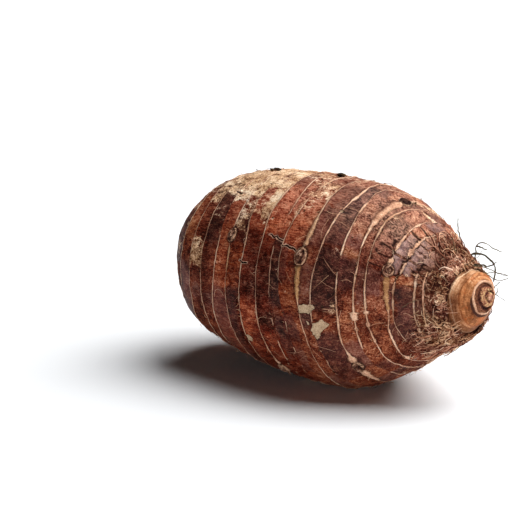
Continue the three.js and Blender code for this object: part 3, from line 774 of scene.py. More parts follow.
body_rows = place(station, angle, radius)
low, high = body_rows.reshape(-1, 3).min(0), body_rows.reshape(-1, 3).max(0)
dish_rows, dish_relief = old_end()
hidden_rows = np.array([place(s, angles, r) for s, r in UNDER_COLLAR])
skin_rows = rest_on_table(np.concatenate([dish_rows, body_rows, hidden_rows]))
origin[0] = body_box[0].x / MM - min(low[0], dish_rows[..., 0].min()) + SCAR_INSET
origin[1] = (body_box[0].y + body_box[1].y) / 2 / MM - (low[1] + high[1]) / 2
print("skin rows and columns:", skin_rows.shape[:2], "origin in the frame, mm:", np.round(origin, 2))

# %% [markdown]
# The skin takes its fields along to the paint. Five more say how the root differs from end to end.
# `tone` gives each band, plate and nearly black place its own darkness. `red` marks the older bark, which has
# weathered redder. A third marks the top, which gets a painted light that makes it paler. `crown` and
# `old` mark the two ends.

# %% The skin with its fields
NO_RING, NO_PATCH, NO_EYE = 6, -2, 3  # values of those distances where nothing is near
tone = draw(band + 90)[:, None] * 0.5 + 0.25 + 0.25 * on_skin(8, 30, 73)
tone = tone + burst * 0.45 * (plate_tone - 0.5) - 0.7 * dark
near_side = window(degrees, 118, 238, 14) * smooth(station, -60, -25)
# how far round the top the painted light reaches, with a wavering edge
painted_top_light_angle = degrees + 8 * on_skin(9, 20, 77)
scar_edge_at = station + 1.1 * on_skin(30, 3, 79)
skin_fields = {
    "ring": np.where(ring_width > 0.04, np.minimum(gap / np.maximum(ring_width, 0.05), NO_RING), NO_RING),
    "ochre": ring_ochre,
    "paper": paper,
    "scales": scales,
    # how far a scale stands up: its painted sheen is lighter there
    "lift": (1 - share[:, None]) * smooth(scales, 0.2, 0.5),
    "peeled": np.clip(peeled, -2, 2),
    "crack": np.clip(cracks, -2, 2),
    "crack_reach": crack_reach,
    "thread": np.clip(threads, -2, 2),
    "thread_reach": thread_reach,
    "scuffs": scuffs,
    "rust": rust,
    "tone": tone,
    # painted shade: nearly black in the splits between plates and round the rim of standing scales
    "painted_split_shade": np.maximum(burst * (1 - plate), 0.9 * window(scales, 0.06, 0.3, 0.05)),
    "eye": np.minimum(eye_reach, NO_EYE),
    "red": (1 - smooth(station, -2, 20)) * (0.3 + 0.7 * near_side),
    # painted light: how much paler the top is painted
    "painted_top_light": window(painted_top_light_angle, 66, 112, 34) * smooth(station, -90, 20),
    "crown": smooth(station, 58, 71),
    "old": 1 - smooth(scar_edge_at, -86.6, -84.2),
}
beyond = {  # values on the scar of the old end and under the collar; 0 where a field isn't listed
    "ring": (NO_RING, NO_RING), "peeled": (NO_PATCH, NO_PATCH), "eye": (NO_EYE, NO_EYE),
    "crown": (0, 1), "old": (1, 0), "tone": (0.4, 0.3),
}
rows_beyond = ((OLD_ROWS, len(UNDER_COLLAR)), (0, 0))
skin_fields = {field: np.pad(values, rows_beyond, constant_values=(beyond.get(field, (0, 0)), (0, 0)))
               for field, values in skin_fields.items()}
skin_fields["lift"][:OLD_ROWS] = dish_relief  # on the scar it tells the paint what stands proud
skin_poles = (place(RINGS[0] + SCAR_DEPTH, 0.0, 0.0), place(UNDER_COLLAR[-1][0] + 0.4, 0.0, 0.0))
skin_part = closed_rows(skin_rows, skin_poles, skin_fields)
print("fields on the skin:", *skin_fields)

# %% [markdown]
# ## Paint
#
# A material is a small network of nodes. The functions below add one node each and return its output,
# so a recipe reads like arithmetic. Patterns are noise in Object coordinates, which stay with the
# piece however it is seen, and the fields made above decide where each finish goes. Colours are
# written as they look on a screen, from 0 to 255, and turned into the linear light that Blender uses.

# %% Paint helpers


def colour(red, green, blue):
    """A screen colour as linear light: above 0.04045, ((c + 0.055) / 1.055) to the power 2.4."""
    c = np.array([red, green, blue]) / 255
    linear = np.where(c > 0.04045, ((c + 0.055) / 1.055) ** 2.4, c / 12.92)
    return (*linear.tolist(), 1.0)


class Recipe:
    """A material in the making."""

    def __init__(self, name):
        self.material = bpy.data.materials.new(name)
        self.material.use_nodes = True
        self.nodes, self.links = self.material.node_tree.nodes, self.material.node_tree.links
        self.nodes.clear()
        self.finish = self.add("BsdfPrincipled", Specular_IOR_Level=0.04)  # dry things hardly mirror light
        self.add("OutputMaterial", Surface=self.finish.outputs["BSDF"])
        self.place = self.add("TexCoord").outputs["Object"]

    def put(self, socket, value):
        """Links a node's output to a socket, or sets the socket's own value."""
        if isinstance(value, bpy.types.NodeSocket):
            self.links.new(value, socket)
        else:
            socket.default_value = value

    def add(self, kind, **values):
        """A new node with some of its sockets filled; in their names an underscore is a space."""
        node = self.nodes.new("ShaderNode" + kind)
        for name, value in values.items():
            self.put(node.inputs[name.replace("_", " ")], value)
        return node

    def field(self, name):
        """A number carried by the piece's vertices."""
        node = self.add("Attribute")
        node.attribute_name = name
        return node.outputs["Fac"]

    def noise(self, per_metre, detail=3.0, roughness=0.55, distortion=0.0):
        """Soft random pattern from 0 to 1, with so many features per metre along x, y and z."""
        where = self.add("Mapping", Vector=self.place, Scale=per_metre).outputs["Vector"]
        node = self.add("TexNoise", Vector=where, Scale=1.0, Detail=detail, Roughness=roughness,
                        Distortion=distortion)
        return node.outputs["Fac"]

    def maths(self, operation, a, b=0.0, c=0.0):
        """One sum, product, power or the like."""
        node = self.add("Math")
        node.operation = operation
        for socket, value in zip(node.inputs, (a, b, c)):
            self.put(socket, value)
        return node.outputs[0]

    def sum(self, *terms):
        """Adds up terms, each a value or a pair of a value and its weight."""
        total = 0.0
        for term in terms:
            value, weight = term if isinstance(term, tuple) else (term, 1.0)
            total = self.maths("MULTIPLY_ADD", value, weight, total)
        return total

    def away(self, *terms):
        """A sum's distance from 0: small along the line where the terms cancel out."""
        return self.maths("ABSOLUTE", self.sum(*terms))

    def times(self, a, b):
        """Product of two values."""
        return self.maths("MULTIPLY", a, b)

    def step(self, value, low, high, low_to=0.0, high_to=1.0):
        """S-shaped rise from low_to to high_to as the value goes from low to high."""
        node = self.add("MapRange", Value=value, From_Min=low, From_Max=high, To_Min=low_to, To_Max=high_to)
        node.interpolation_type = "SMOOTHSTEP"
        return node.outputs["Result"]

    def ramp(self, value, *stops):
        """Colours along a scale, each as (position, red, green, blue)."""
        node = self.add("ValToRGB", Fac=value)
        band = node.color_ramp.elements
        while len(band) < len(stops):
            band.new(0.5)
        for element, (position, *tint) in zip(band, stops):
            element.position = position
            element.color = colour(*tint)
        return node.outputs["Color"]

    def mix(self, share, a, b, blend="MIX"):
        """Colour a, with a share of b over it."""
        node = self.add("Mix")
        node.data_type = "RGBA"
        node.blend_type = blend
        for name, value in (("Factor_Float", share), ("A_Color", a), ("B_Color", b)):
            self.put(next(s for s in node.inputs if s.identifier == name), value)
        return next(s for s in node.outputs if s.identifier == "Result_Color")

    def done(self, base, roughness, height=None, depth=0.0003, strength=1.0):
        """Sets colour, roughness and a bump whose height of 1 is depth metres."""
        self.put(self.finish.inputs["Base Color"], base)
        self.put(self.finish.inputs["Roughness"], roughness)
        if height is not None:
            bump = self.add("Bump", Distance=depth, Strength=strength, Height=height)
            self.put(self.finish.inputs["Normal"], bump.outputs["Normal"])
        return self.material


print("a screen's middle grey is", round(colour(128, 128, 128)[0], 3), "of white in linear light")

# %% [markdown]
# ## Skin finish
#
# Dry taro skin is several finishes in one: red-brown bark with fine lengthwise fibres, smoother
# purple-brown paper that has a little gloss, ochre scuffs where the bark is rubbed off, pale cork on
# the ring lines, and a chalky grey-beige where a patch has peeled. A picture wrapped round the root
# would smear at its ends, so the finishes are painted as layers, each over the last. Fine noise gives
# every layer a ragged edge, as sharp as on the real thing even though the fields are soft.
#
# The layers share the patterns below. Creases are the places where a noise crosses its middle value,
# `|noise - 1/2|` near 0, which gives fine winding lines.

# %% Skin patterns


def skin_recipe():
    """An empty skin recipe that carries the patterns which its layers share."""
    r = Recipe("taro skin")
    r.strokes = r.noise((330, 1500, 1500), detail=4, roughness=0.65)
    r.grain = r.noise((1300, 1500, 1500), roughness=0.65)
    r.speck = r.noise((2600, 2600, 2600), detail=2, roughness=0.6)
    r.blotch = r.noise((230, 300, 300), detail=4, roughness=0.62, distortion=0.6)
    r.cloud = r.noise((60, 80, 80))
    r.creases = r.away(r.noise((170, 520, 520), 2, 0.5, 0.8), -0.5)
    return r


def bark_layer(r):
    """Strokes and grains on clouds, from nearly black to light brown, with rusty stretches."""
    scale = r.sum((r.strokes, 1.05), (r.grain, 0.85), (r.speck, 0.75), (r.blotch, 0.9), (r.cloud, 0.75),
                  (r.field("tone"), 0.5), -1.85)
    brown = r.ramp(scale, (0.1, 28, 7, 4), (0.34, 70, 24, 15), (0.54, 112, 51, 35),
                   (0.72, 156, 89, 63), (0.95, 208, 153, 122))
    rusty = r.ramp(scale, (0.1, 46, 14, 6), (0.38, 102, 47, 28), (0.62, 152, 91, 61), (0.86, 204, 156, 122))
    rust_share = r.step(r.sum((r.field("rust"), 0.9), (r.blotch, 1.5), (r.cloud, 0.4)), 1.28, 1.75, 0, 0.8)
    return r.mix(rust_share, brown, rusty)


def paper_layer(r, base):
    """Smooth dark paper, cooler in places, and standing scales with a painted grey-lilac sheen, lighter
    where they lift. Both have a little gloss, which the recipe keeps for the end."""
    scale = r.sum((r.strokes, 0.8), (r.cloud, 0.9), (r.blotch, 0.9), (r.speck, 0.4), (r.field("tone"), 0.35),
                  -1.2)
    purple = r.ramp(scale, (0.12, 28, 7, 6), (0.4, 64, 24, 21), (0.64, 104, 52, 46), (0.92, 156, 108, 98))
    grey = r.ramp(scale, (0.2, 34, 17, 14), (0.5, 78, 45, 38), (0.9, 144, 104, 94))
    cool = r.step(r.noise((48, 60, 60), 2), 0.45, 0.6, 0, 0.45)
    papery = r.sum(r.field("paper"), (r.blotch, 1.3), (r.strokes, 0.7))
    r.paper_share = r.step(papery, 1.3, 1.85, 0, 0.85)
    base = r.mix(r.paper_share, base, r.mix(cool, purple, grey))
    # painted sheen: the scales' grey lilac stands for light mirrored off them, lightest where they lift
    painted_sheen_tone = r.sum((r.cloud, 0.4), (r.grain, 0.5), (r.blotch, 0.4), (r.field("lift"), 0.5), -0.45)
    painted_sheen = r.ramp(painted_sheen_tone, (0.15, 72, 42, 39), (0.38, 112, 79, 76),
                   (0.6, 150, 120, 116), (0.85, 190, 162, 150))
    scale_share = r.step(r.sum(r.field("scales"), (r.grain, 0.3)), 0.45, 0.75, 0, 0.95)
    r.gloss = r.maths("MAXIMUM", r.paper_share, scale_share)
    return r.mix(scale_share, base, painted_sheen)


skin_layers = [paper_layer]
print("layers over the bark so far:", len(skin_layers))

# %% [markdown]
# The bark isn't one colour from end to end. It is yellower in clouds, redder where it is oldest, and
# paler on top, where a painted light lies on it. Over that lie small marks: creases with a dark floor,
# some with a pale lifted edge, wisps of fibre and pale flecks. Scuffs show broken ochre cork, and the
# splits between plates and round standing scales get a nearly black painted shade.

# %% Tints, small marks and scuffs


def tint_layer(r, base):
    """Slow changes of hue, and a painted light that makes the top paler; paper takes less of it than bark
    does.
    """
    warm = r.step(r.noise((38, 50, 50), 2), 0.42, 0.62, 0, 0.5)
    base = r.mix(warm, base, colour(255, 240, 202), "MULTIPLY")
    base = r.mix(r.field("red"), base, colour(252, 202, 184), "MULTIPLY")
    high = r.step(r.sum((r.strokes, 0.8), (r.grain, 0.6), (r.blotch, 0.6)), 0.85, 1.2)
    # painted light on the top: paler where the bark's pattern is high, less so on paper
    painted_top_lit = r.times(r.times(r.field("painted_top_light"), high), r.sum((r.paper_share, -0.3), 0.45))
    return r.mix(painted_top_lit, base, colour(224, 179, 152))


def mark_layer(r, base):
    """Creases, their pale edges, wisps and flecks."""
    base = r.mix(r.step(r.creases, 0, 0.018, 0.75, 0), base, colour(18, 7, 6))
    pale_edge = r.times(r.step(r.creases, 0.03, 0.05), r.step(r.creases, 0.05, 0.075, 0.5, 0))
    base = r.mix(r.times(pale_edge, r.step(r.blotch, 0.45, 0.6)), base, colour(170, 114, 90))
    wisps = r.away(r.noise((420, 620, 620), 2, 0.5, 1.5), -0.5)
    wisps = r.times(r.step(wisps, 0.004, 0.018, 0.55, 0), r.step(r.strokes, 0.47, 0.56))
    base = r.mix(wisps, base, colour(168, 116, 92))
    flecks = r.step(r.sum((r.speck, 0.5), (r.grain, 0.5)), 0.585, 0.64, 0, 0.4)
    return r.mix(flecks, base, r.ramp(r.cloud, (0.4, 140, 88, 68), (0.6, 190, 140, 114)))


def scuff_layer(r, base):
    """Broken cream and ochre cork with bark left in its hollows, then a nearly black painted shade in the
    splits.
    """
    hollows = r.sum((r.blotch, 1.3), (r.grain, 0.9), (r.strokes, 0.5))
    scuff_share = r.step(r.sum((r.field("scuffs"), 0.62), hollows), 1.62, 2.02)
    scale = r.sum((r.grain, 1.1), (r.speck, 0.4), (r.blotch, 0.8), (r.cloud, 1.2), -1.23)
    cork = r.ramp(scale, (0.2, 128, 82, 50), (0.4, 182, 138, 101),
                  (0.58, 224, 184, 145), (0.82, 251, 229, 200))
    base = r.mix(scuff_share, base, cork)
    # painted shade in the splits between plates and under the rims of standing scales
    shadow = r.step(r.sum(r.field("painted_split_shade"), (r.grain, 0.5)), 0.45, 0.95, 0, 0.9)
    return r.mix(shadow, base, colour(22, 10, 9))


skin_layers += [tint_layer, mark_layer, scuff_layer]
print("layers over the bark so far:", len(skin_layers))

# %% [markdown]
# Last come the things with a place of their own. A ring line is drawn where its distance field is
# small: pale cork that thins out, roughens and darkens along its length, ochre where it widens, with a
# painted shade beside it, as at the foot of a raised ridge. Noise added to a distance before it is
# compared makes the line's edge ragged without moving the line. Threads, peeled patches and cracks are
# drawn the same way.

# %% Rings, cracks and ends


def ring_layer(r, base):
    """Cork along the rings, with a painted shade beside them."""
    line = r.sum(r.field("ring"), (r.grain, 1.7), (r.speck, 1.1), r.blotch, -1.9)
    cork = r.ramp(r.sum((r.grain, 0.9), (r.strokes, 0.5), (r.cloud, 0.9), -0.68),
                  (0.2, 130, 80, 60), (0.38, 194, 146, 117), (0.54, 226, 183, 152),
                  (0.75, 248, 222, 197))
    ochre = r.ramp(r.sum((r.strokes, 0.7), (r.cloud, 0.5), -0.1), (0.3, 108, 68, 36),
                   (0.5, 156, 108, 62), (0.7, 200, 156, 106))
    cork = r.mix(r.field("ochre"), cork, ochre)
    cork = r.mix(r.step(r.field("tone"), -0.35, 0.3, 0.5, 0), cork, colour(104, 52, 36))
    # painted shade beside each ring line, as at the foot of a raised ridge
    base = r.mix(r.step(line, 1.2, 2.8, 0.55, 0), base, colour(38, 15, 11))
    return r.mix(r.step(line, 0.75, 1.15, 1, 0), base, cork)


def damage_layer(r, base):
    """Pale threads, chalky peeled patches with a dark edge, and black cracks with pale lips."""
    thread = r.away(r.field("thread"), (r.grain, 0.7), -0.35)
    on_thread = r.times(r.step(thread, 0.05, 0.17, 0.7, 0),
                        r.step(r.sum(r.field("thread_reach"), (r.blotch, 0.8)), 0.7, 1.1))
    base = r.mix(on_thread, base, colour(190, 140, 110))
    peeled = r.sum(r.field("peeled"), (r.grain, 1.1), (r.speck, 0.6), (r.blotch, 0.5), -1.1)
    chalk = r.ramp(r.sum((r.grain, 0.9), (r.blotch, 0.5), (r.speck, 0.4), -0.4),
                   (0.3, 134, 106, 80), (0.5, 182, 154, 124), (0.75, 208, 184, 154))
    base = r.mix(r.step(peeled, -0.35, 0, 0, 0.7), base, colour(34, 16, 12))
    base = r.mix(r.step(peeled, 0, 0.12), base, chalk)
    crack = r.away(r.field("crack"), r.grain, -0.5)
    reach = r.field("crack_reach")
    lip = r.times(r.step(r.sum(crack, (r.blotch, 0.9), (reach, -0.6)), 0.75, 0.95, 0.95, 0),
                  r.step(reach, 0.15, 0.35))
    base = r.mix(lip, base, colour(214, 168, 142))
    gape = r.times(r.step(r.sum(crack, (reach, -0.6)), 0, 0.1, 1, 0), r.step(reach, 0.25, 0.45))
    return r.mix(gape, base, colour(14, 6, 5))


def end_layer(r, base):
    """Dark seats of the eyes, broken cork on the old end's scar with a painted shade round its rim, and a
    painted shade on the skin under the collar.
    """
    rim = r.sum(r.field("eye"), (r.grain, 0.3), -0.15)
    base = r.mix(r.step(rim, 1.05, 1.35, 0.7, 0), base, colour(34, 16, 12))
    scar_scale = r.sum(r.grain, (r.speck, 0.6), (r.blotch, 0.9), (r.field("lift"), 0.16), -0.74)
    scar = r.ramp(scar_scale, (0.12, 38, 16, 11), (0.34, 96, 54, 38),
                  (0.56, 152, 104, 78), (0.82, 214, 172, 140))
    scar_rim_and_shade = r.sum(r.field("old"), (r.blotch, 0.8), (r.grain, 0.7))
    # painted shade: a dark line just outside the scar, where the skin turns down into its dish
    base = r.mix(r.step(scar_rim_and_shade, 1.02, 1.14, 0, 0.8), base, colour(28, 13, 9))
    base = r.mix(r.step(scar_rim_and_shade, 1.16, 1.24), base, scar)
    # painted shade: the skin under and near the collar is darkened, as in the gaps between the fibres
    crown = r.step(r.sum(r.field("crown"), (r.grain, 0.3)), 0.4, 1.1, 0, 0.55)
    return r.mix(crown, base, r.ramp(r.grain, (0.35, 38, 16, 10), (0.65, 104, 60, 43)))


def skin_material():
    """All layers of the skin, with a bump from the same patterns; glossy places are smoother."""
    r = skin_recipe()
    base = bark_layer(r)
    for layer in skin_layers:
        base = layer(r, base)
    roughness = r.sum((r.gloss, -0.16), (r.grain, 0.3), 0.46)
    height = r.sum((r.strokes, 0.7), (r.grain, 0.6), (r.speck, 0.2), (r.blotch, 0.5),
                   (r.step(r.creases, 0, 0.05), 0.25))
    height = r.times(height, r.sum((r.gloss, -0.5), 1))
    r.put(r.finish.inputs["Specular IOR Level"], r.sum((r.gloss, 0.08), 0.02))
    return r.done(base, roughness, height, 0.0005, 0.7)


skin_layers += [ring_layer, damage_layer, end_layer]
corm_skin = new_piece("corm_skin", skin_material(), [skin_part], ["corm"])
print("skin material:", len(skin_layers), "layers over the bark,",
      len(corm_skin.active_material.node_tree.nodes), "nodes")

# %% [markdown]
# ## Eyes
#
# An eye is a small oval bud pressed against the skin, made of scales that overlap like a tiny onion.
# Seen from above it is a set of broken uneven ovals round a knob, and where the bud has died it is a
# dark pit. Its height is a function of how far out a point is, from 0 in the middle to 1 at the rim.
# It is its own patch because its folds are finer than the rows of the skin, and its rim sinks under
# the skin so that no gap shows.

# %% Eyes
EYE_LENGTH, EYE_WIDTH = 9.0, 6.8  # mm round the root and along it
EYE_LIFT, EYE_DEPTH = 0.1, 2.5  # mm over the skin's outline, and from it down to the bud's foot
EYE_ROWS, EYE_COLUMNS = 22, 44


def eye(ring, at, size, hollow, dark):
    """Oval rows from the sunk rim to the middle: a mound or a hollow, a raised lip and crumpled scales."""
    theta = np.radians(at)
    where = float(ring_station(ring, theta))
    seat = curve_through(OUTLINE, where) + swell(where, theta)
    out = 1 - (np.arange(EYE_ROWS) / EYE_ROWS)[:, None]
    turn = np.broadcast_to(even_angles(EYE_COLUMNS), (EYE_ROWS, EYE_COLUMNS))
    ragged = 1 + 0.09 * uneven(turn, 3.0 * ring, 7, 1, 81) + 0.05 * uneven(turn, ring, 19, 1, 82)
    phase = out * 2.2 + 0.35 * np.sin(turn + at) + 0.45 * uneven(turn, 9 * out, 7, 2.5, ring)
    fold = np.abs(np.sin(np.pi * phase)) ** 0.8
    broken = 0.35 + 0.65 * smooth(uneven(turn, 9 * out, 5, 3, 84 + ring), -0.4, 0.4)
    inside = smooth(out, 0.03, 0.15) * (1 - smooth(out, 0.72, 0.9))
    mound = (1 - hollow) * 1.2 * (1 - out**2.2) - hollow * 1.0 * (1 - out**2) - 0.9 * smooth(out, 0.88, 1.0)
    lip = (0.45 + 0.4 * hollow) * bell(out, 0.82, 0.09) * (0.6 + 0.4 * np.sin(turn + 2 * ring))
    knob = (0.4 + 0.5 * hollow) * bell(out, 0, 0.2)
    crumple = (0.34 * uneven(turn, 9 * out, 14, 1.1, 83 + ring)
               + 0.2 * uneven(turn, 9 * out, 30, 0.7, 85 + ring)) * inside
    height = mound + lip + knob + 0.6 * (fold - 0.6) * inside * broken + crumple
    shift = 0.14 * (1 - out)
    round_mm = (out * ragged * np.cos(turn) + shift) * EYE_LENGTH / 2 * size
    along_mm = (out * ragged * np.sin(turn) - shift) * EYE_WIDTH / 2 * size
    rows = place(where + along_mm, theta + round_mm / seat,
                 curve_through(OUTLINE, where + along_mm) + swell(where, theta) + height * size + EYE_LIFT)
    below = place(where, theta, seat - EYE_DEPTH)
    fields = {"out": out + 0 * turn, "fold": fold * broken + crumple, "dark": dark + 0 * fold}
    fields = {field: values[:, ::-1] for field, values in fields.items()}
    return closed_rows(rows[:, ::-1], (below, rows[-1].mean(0)), fields)


def eye_material():
    """Dry bud scales: dark in the folds, grey-tan along their edges, a pale broken rim."""
    r = Recipe("eye scales")
    grain = r.noise((1500, 1500, 1500))
    blotch = r.noise((500, 500, 500))
    scale = r.sum((r.field("fold"), 0.6), (grain, 0.8), (blotch, 0.6), (r.field("dark"), -0.3), -0.5)
    base = r.ramp(scale, (0.1, 30, 14, 10), (0.35, 76, 44, 34), (0.6, 134, 94, 74), (0.9, 206, 172, 146))
    rim = r.times(r.step(r.sum(r.field("out"), (blotch, 0.3), (r.field("dark"), -0.1)), 0.86, 0.96),
                  r.step(r.sum((grain, 0.5), (blotch, 0.5), (r.field("dark"), -0.08)), 0.38, 0.5, 0, 0.85))
    base = r.mix(rim, base, r.ramp(grain, (0.35, 124, 82, 60), (0.65, 206, 164, 132)))
    foot = r.step(r.field("out"), 0.93, 1)
    base = r.mix(foot, base, colour(48, 26, 20))
    return r.done(base, 0.62, r.sum((grain, 0.6), (blotch, 0.4)), 0.0005, 0.8)


new_piece("eyes", eye_material(), [eye(*one) for one in EYES])

# %% [markdown]
# ## Neck
#
# The neck is what is left of the last leaf sheaths: smooth, ochre and stacked like the end of a leek.
# It is a profile carried round the axis. The profile has a small step at each sheath's edge and turns
# in over a pale rim to a cup, and the edges wander a little so that no step is a perfect circle. The
# outer sheath ends in a ragged pale edge halfway up, partly its own pale margin and partly a painted
# highlight. It is duller than the one inside it, and a painted shade darkens its lower side. The inside
# of the cup is painted dark as shade.

# %% Neck
NECK = [  # station, radius
    (75.6, 12.5), (77, 15), (78.3, 15.9), (79.2, 15.7), (79.9, 15), (83, 13.5), (83.7, 13.5),
    (84.3, 12.2), (86.6, 9.6), (87.7, 8.3), (87.9, 7.8), (87.4, 7.4), (86.8, 7.2), (86, 6.8),
]
NECK_ROWS, NECK_COLUMNS = 110, 300
NECK_FOOT, CUP_FLOOR = 75.4, 85.9  # stations where the neck's surface is closed
NECK_TURNS_UP = np.array([0, 0, 3.0])  # mm by which its end is lifted


def leaned(points, where):
    """The end of the neck turns up a little: points are lifted more the further along they are."""
    return points + NECK_TURNS_UP * smooth(where, 78.5, 89)[..., None]


def resampled(points, count, rounding):
    """A polyline's points at even distances, each the mean of its neighbours: corners come out round."""
    points = np.array(points, float)
    run = np.concatenate([[0], np.cumsum(np.linalg.norm(np.diff(points, axis=0), axis=1))])
    even = np.linspace(0, run[-1], count)
    line = np.stack([np.interp(even, run, points[:, k]) for k in range(points.shape[1])], -1)
    for _ in range(rounding):
        line[1:-1] = (line[:-2] + 2 * line[1:-1] + line[2:]) / 4
    return line, even


def neck():
    """Rows along the profile, with wandering sheath edges and fine lengthwise wrinkles."""
    line, run = resampled(NECK, NECK_ROWS, 6)
    turn = np.broadcast_to(even_angles(NECK_COLUMNS), (NECK_ROWS, NECK_COLUMNS))
    where, out = line[:, :1] + 0 * turn, line[:, 1:] + 0 * turn
    run = run[:, None] + 0 * turn
    outside = window(where, 78.5, 87.4, 0.8) * (out > 9.3)
    wander = 0.5 * uneven(turn, where, 7, 5, 91) + 0.25 * uneven(turn, where, 23, 4, 92)
    where = where + outside * wander
    hoops = 0.1 * uneven(turn, run, 6, 0.8, 93) + 0.07 * uneven(turn, run, 14, 0.5, 94)
    wrinkles = 0.06 * uneven(turn, run, 130, 14, 98) + 0.1 * uneven(turn, run, 34, 9, 99)
    folds = 0.35 * uneven(turn, run, 9, 6, 95)
    rim = window(where, 87.25, 89, 0.4)
    nicks = rim * (0.3 * uneven(turn, run, 40, 3, 96) + 0.45 * uneven(turn, run, 11, 3, 97))
    slack = 1 - 0.1 * window(np.degrees(turn), 200, 330, 50) * smooth(where, 76.5, 80)
    out = slack * out + wrinkles + (folds + 0.7 * hoops) * outside + 0.5 * nicks
    rows = leaned(place(where + nicks, turn, out), where)
    # the inside of the cup, which the paint darkens as shade
    inside = smooth(-where, -87.6, -86.8) * (out < 9.0)
    # painted shade: darkens the neck's lower near side and underside
    painted_low_side = window(np.degrees(turn), 165, 300, 30)
    fields = {"run": run / run.max(), "rim": rim, "inside": inside, "painted_low_side": painted_low_side}
    floor = leaned(place(CUP_FLOOR, 0.0, 0.0), np.array(CUP_FLOOR))
    return closed_rows(rows, (place(NECK_FOOT, 0.0, 0.0), floor), fields)


def neck_material():
    """Dried sheath: ochre to orange-tan with fine hoops, then its layers by how far up they reach: a
    brown foot, a dull outer sheath with a pale ragged edge that is partly a painted highlight, a mottled
    inner one, and a cream rim. A painted shade darkens the lower side and the inside of the cup."""
    r = Recipe("leaf sheath")
    run, low_side_shading = r.field("run"), r.field("painted_low_side")
    hoops = r.noise((1300, 170, 170), detail=4, roughness=0.6)
    fibres = r.noise((160, 1300, 1300))
    cloud = r.noise((110, 110, 110), detail=4, distortion=0.5)
    grain = r.noise((1800, 1800, 1800), detail=2)
    scale = r.sum((cloud, 0.9), (hoops, 0.5), (fibres, 0.4), (grain, 0.4), (low_side_shading, -0.16), -0.52)
    base = r.ramp(scale, (0.2, 84, 44, 24), (0.4, 134, 80, 46), (0.55, 174, 112, 70),
                  (0.7, 202, 150, 108), (0.86, 226, 190, 154))
    foot = r.step(r.sum(run, (cloud, 0.3), (low_side_shading, -0.1)), 0.34, 0.58, 0.85, 0)
    base = r.mix(foot, base, r.ramp(r.sum((hoops, 0.5), (grain, 0.5)), (0.35, 60, 34, 22),
                                    (0.65, 140, 96, 66)))
    sheath = r.step(r.away(run, (cloud, 0.12), -0.56), 0, 0.035, 0.65, 0)
    base = r.mix(sheath, base, colour(118, 56, 28))
    groove = r.times(r.step(run, 0.6, 0.63), r.step(run, 0.645, 0.68, 1, 0))
    base = r.mix(r.times(groove, 0.4), base, colour(110, 62, 34))
    ragged = r.sum(run, (cloud, 0.16), (grain, 0.05))
    outer = r.step(ragged, 0.57, 0.61, 0.62, 0)
    dull = r.ramp(scale, (0.2, 88, 46, 28), (0.42, 146, 92, 60), (0.6, 190, 136, 98), (0.82, 230, 190, 154))
    base = r.mix(outer, base, dull)
    # painted shade over the outer sheath on the low side
    outer_low_shade = r.times(r.step(ragged, 0.52, 0.61, 1, 0), low_side_shading)
    base = r.mix(outer_low_shade, base, colour(198, 184, 176), "MULTIPLY")
    # the pale ragged edge is partly the sheath's own margin and partly a painted highlight; it fades on the
    # shaded low side
    edge = r.step(r.away(ragged, -0.395), 0.006, 0.022, 0.8, 0)
    edge = r.times(edge, r.sum((low_side_shading, -0.8), 1))
    base = r.mix(edge, base, colour(230, 196, 160))
    mottle = r.step(r.noise((300, 200, 200), detail=5), 0.53, 0.62, 0, 0.6)
    base = r.mix(r.times(mottle, r.step(ragged, 0.6, 0.66)), base, colour(170, 86, 40))
    spots = r.step(r.noise((420, 240, 240), detail=4), 0.58, 0.66, 0, 0.5)
    base = r.mix(spots, base, colour(96, 54, 30))
    rim = r.step(r.sum(r.field("rim"), (grain, 0.6), (cloud, 0.6)), 1.3, 1.5, 0, 0.92)
    base = r.mix(rim, base, r.ramp(r.sum((grain, 0.6), (cloud, 0.4)), (0.35, 168, 118, 90),
                                   (0.55, 212, 168, 138), (0.75, 236, 208, 180)))
    # painted shade: the inside of the cup is dark
    base = r.mix(r.field("inside"), base, colour(60, 34, 26))
    return r.done(base, 0.5, r.sum((hoops, 0.5), (grain, 0.3), (fibres, 0.3)), 0.0004, 0.7)


new_piece("neck", neck_material(), [neck()])

# %% [markdown]
# ## Leaf bases
#
# In the cup of the neck sit the youngest leaf bases, rolled round each other and cut short. Across
# their end they show as a spiral. Its height is a sawtooth of the winding number, `turns x share +
# angle`: it climbs slowly over one leaf's thickness and drops at its edge, into the gaps, which get a
# dark painted shade that is deeper on one side. The middle leans off centre and stands highest, as the
# tip of the next leaf.

# %% Leaf bases
STUB_FOOT, STUB_GAP = 86.0, 0.35  # station of the stub's foot and mm that its closing point is further up
STUB_RADIUS, STUB_WALL, STUB_DOME = 7.5, 1.5, 2.4  # mm
STUB_TURNS = 2.1  # of the spiral
STUB_RISE = 0.93  # share of the neck's lift that the stub follows
STUB_LEAN = np.array([0.3, 2.6, 0.4])  # mm by which its tip is off centre
STUB_WALL_ROWS = [(0.4, 1.2), (1.2, 0.3)]  # mm up from the foot, mm inside the radius
STUB_ROWS, STUB_COLUMNS = 90, 200


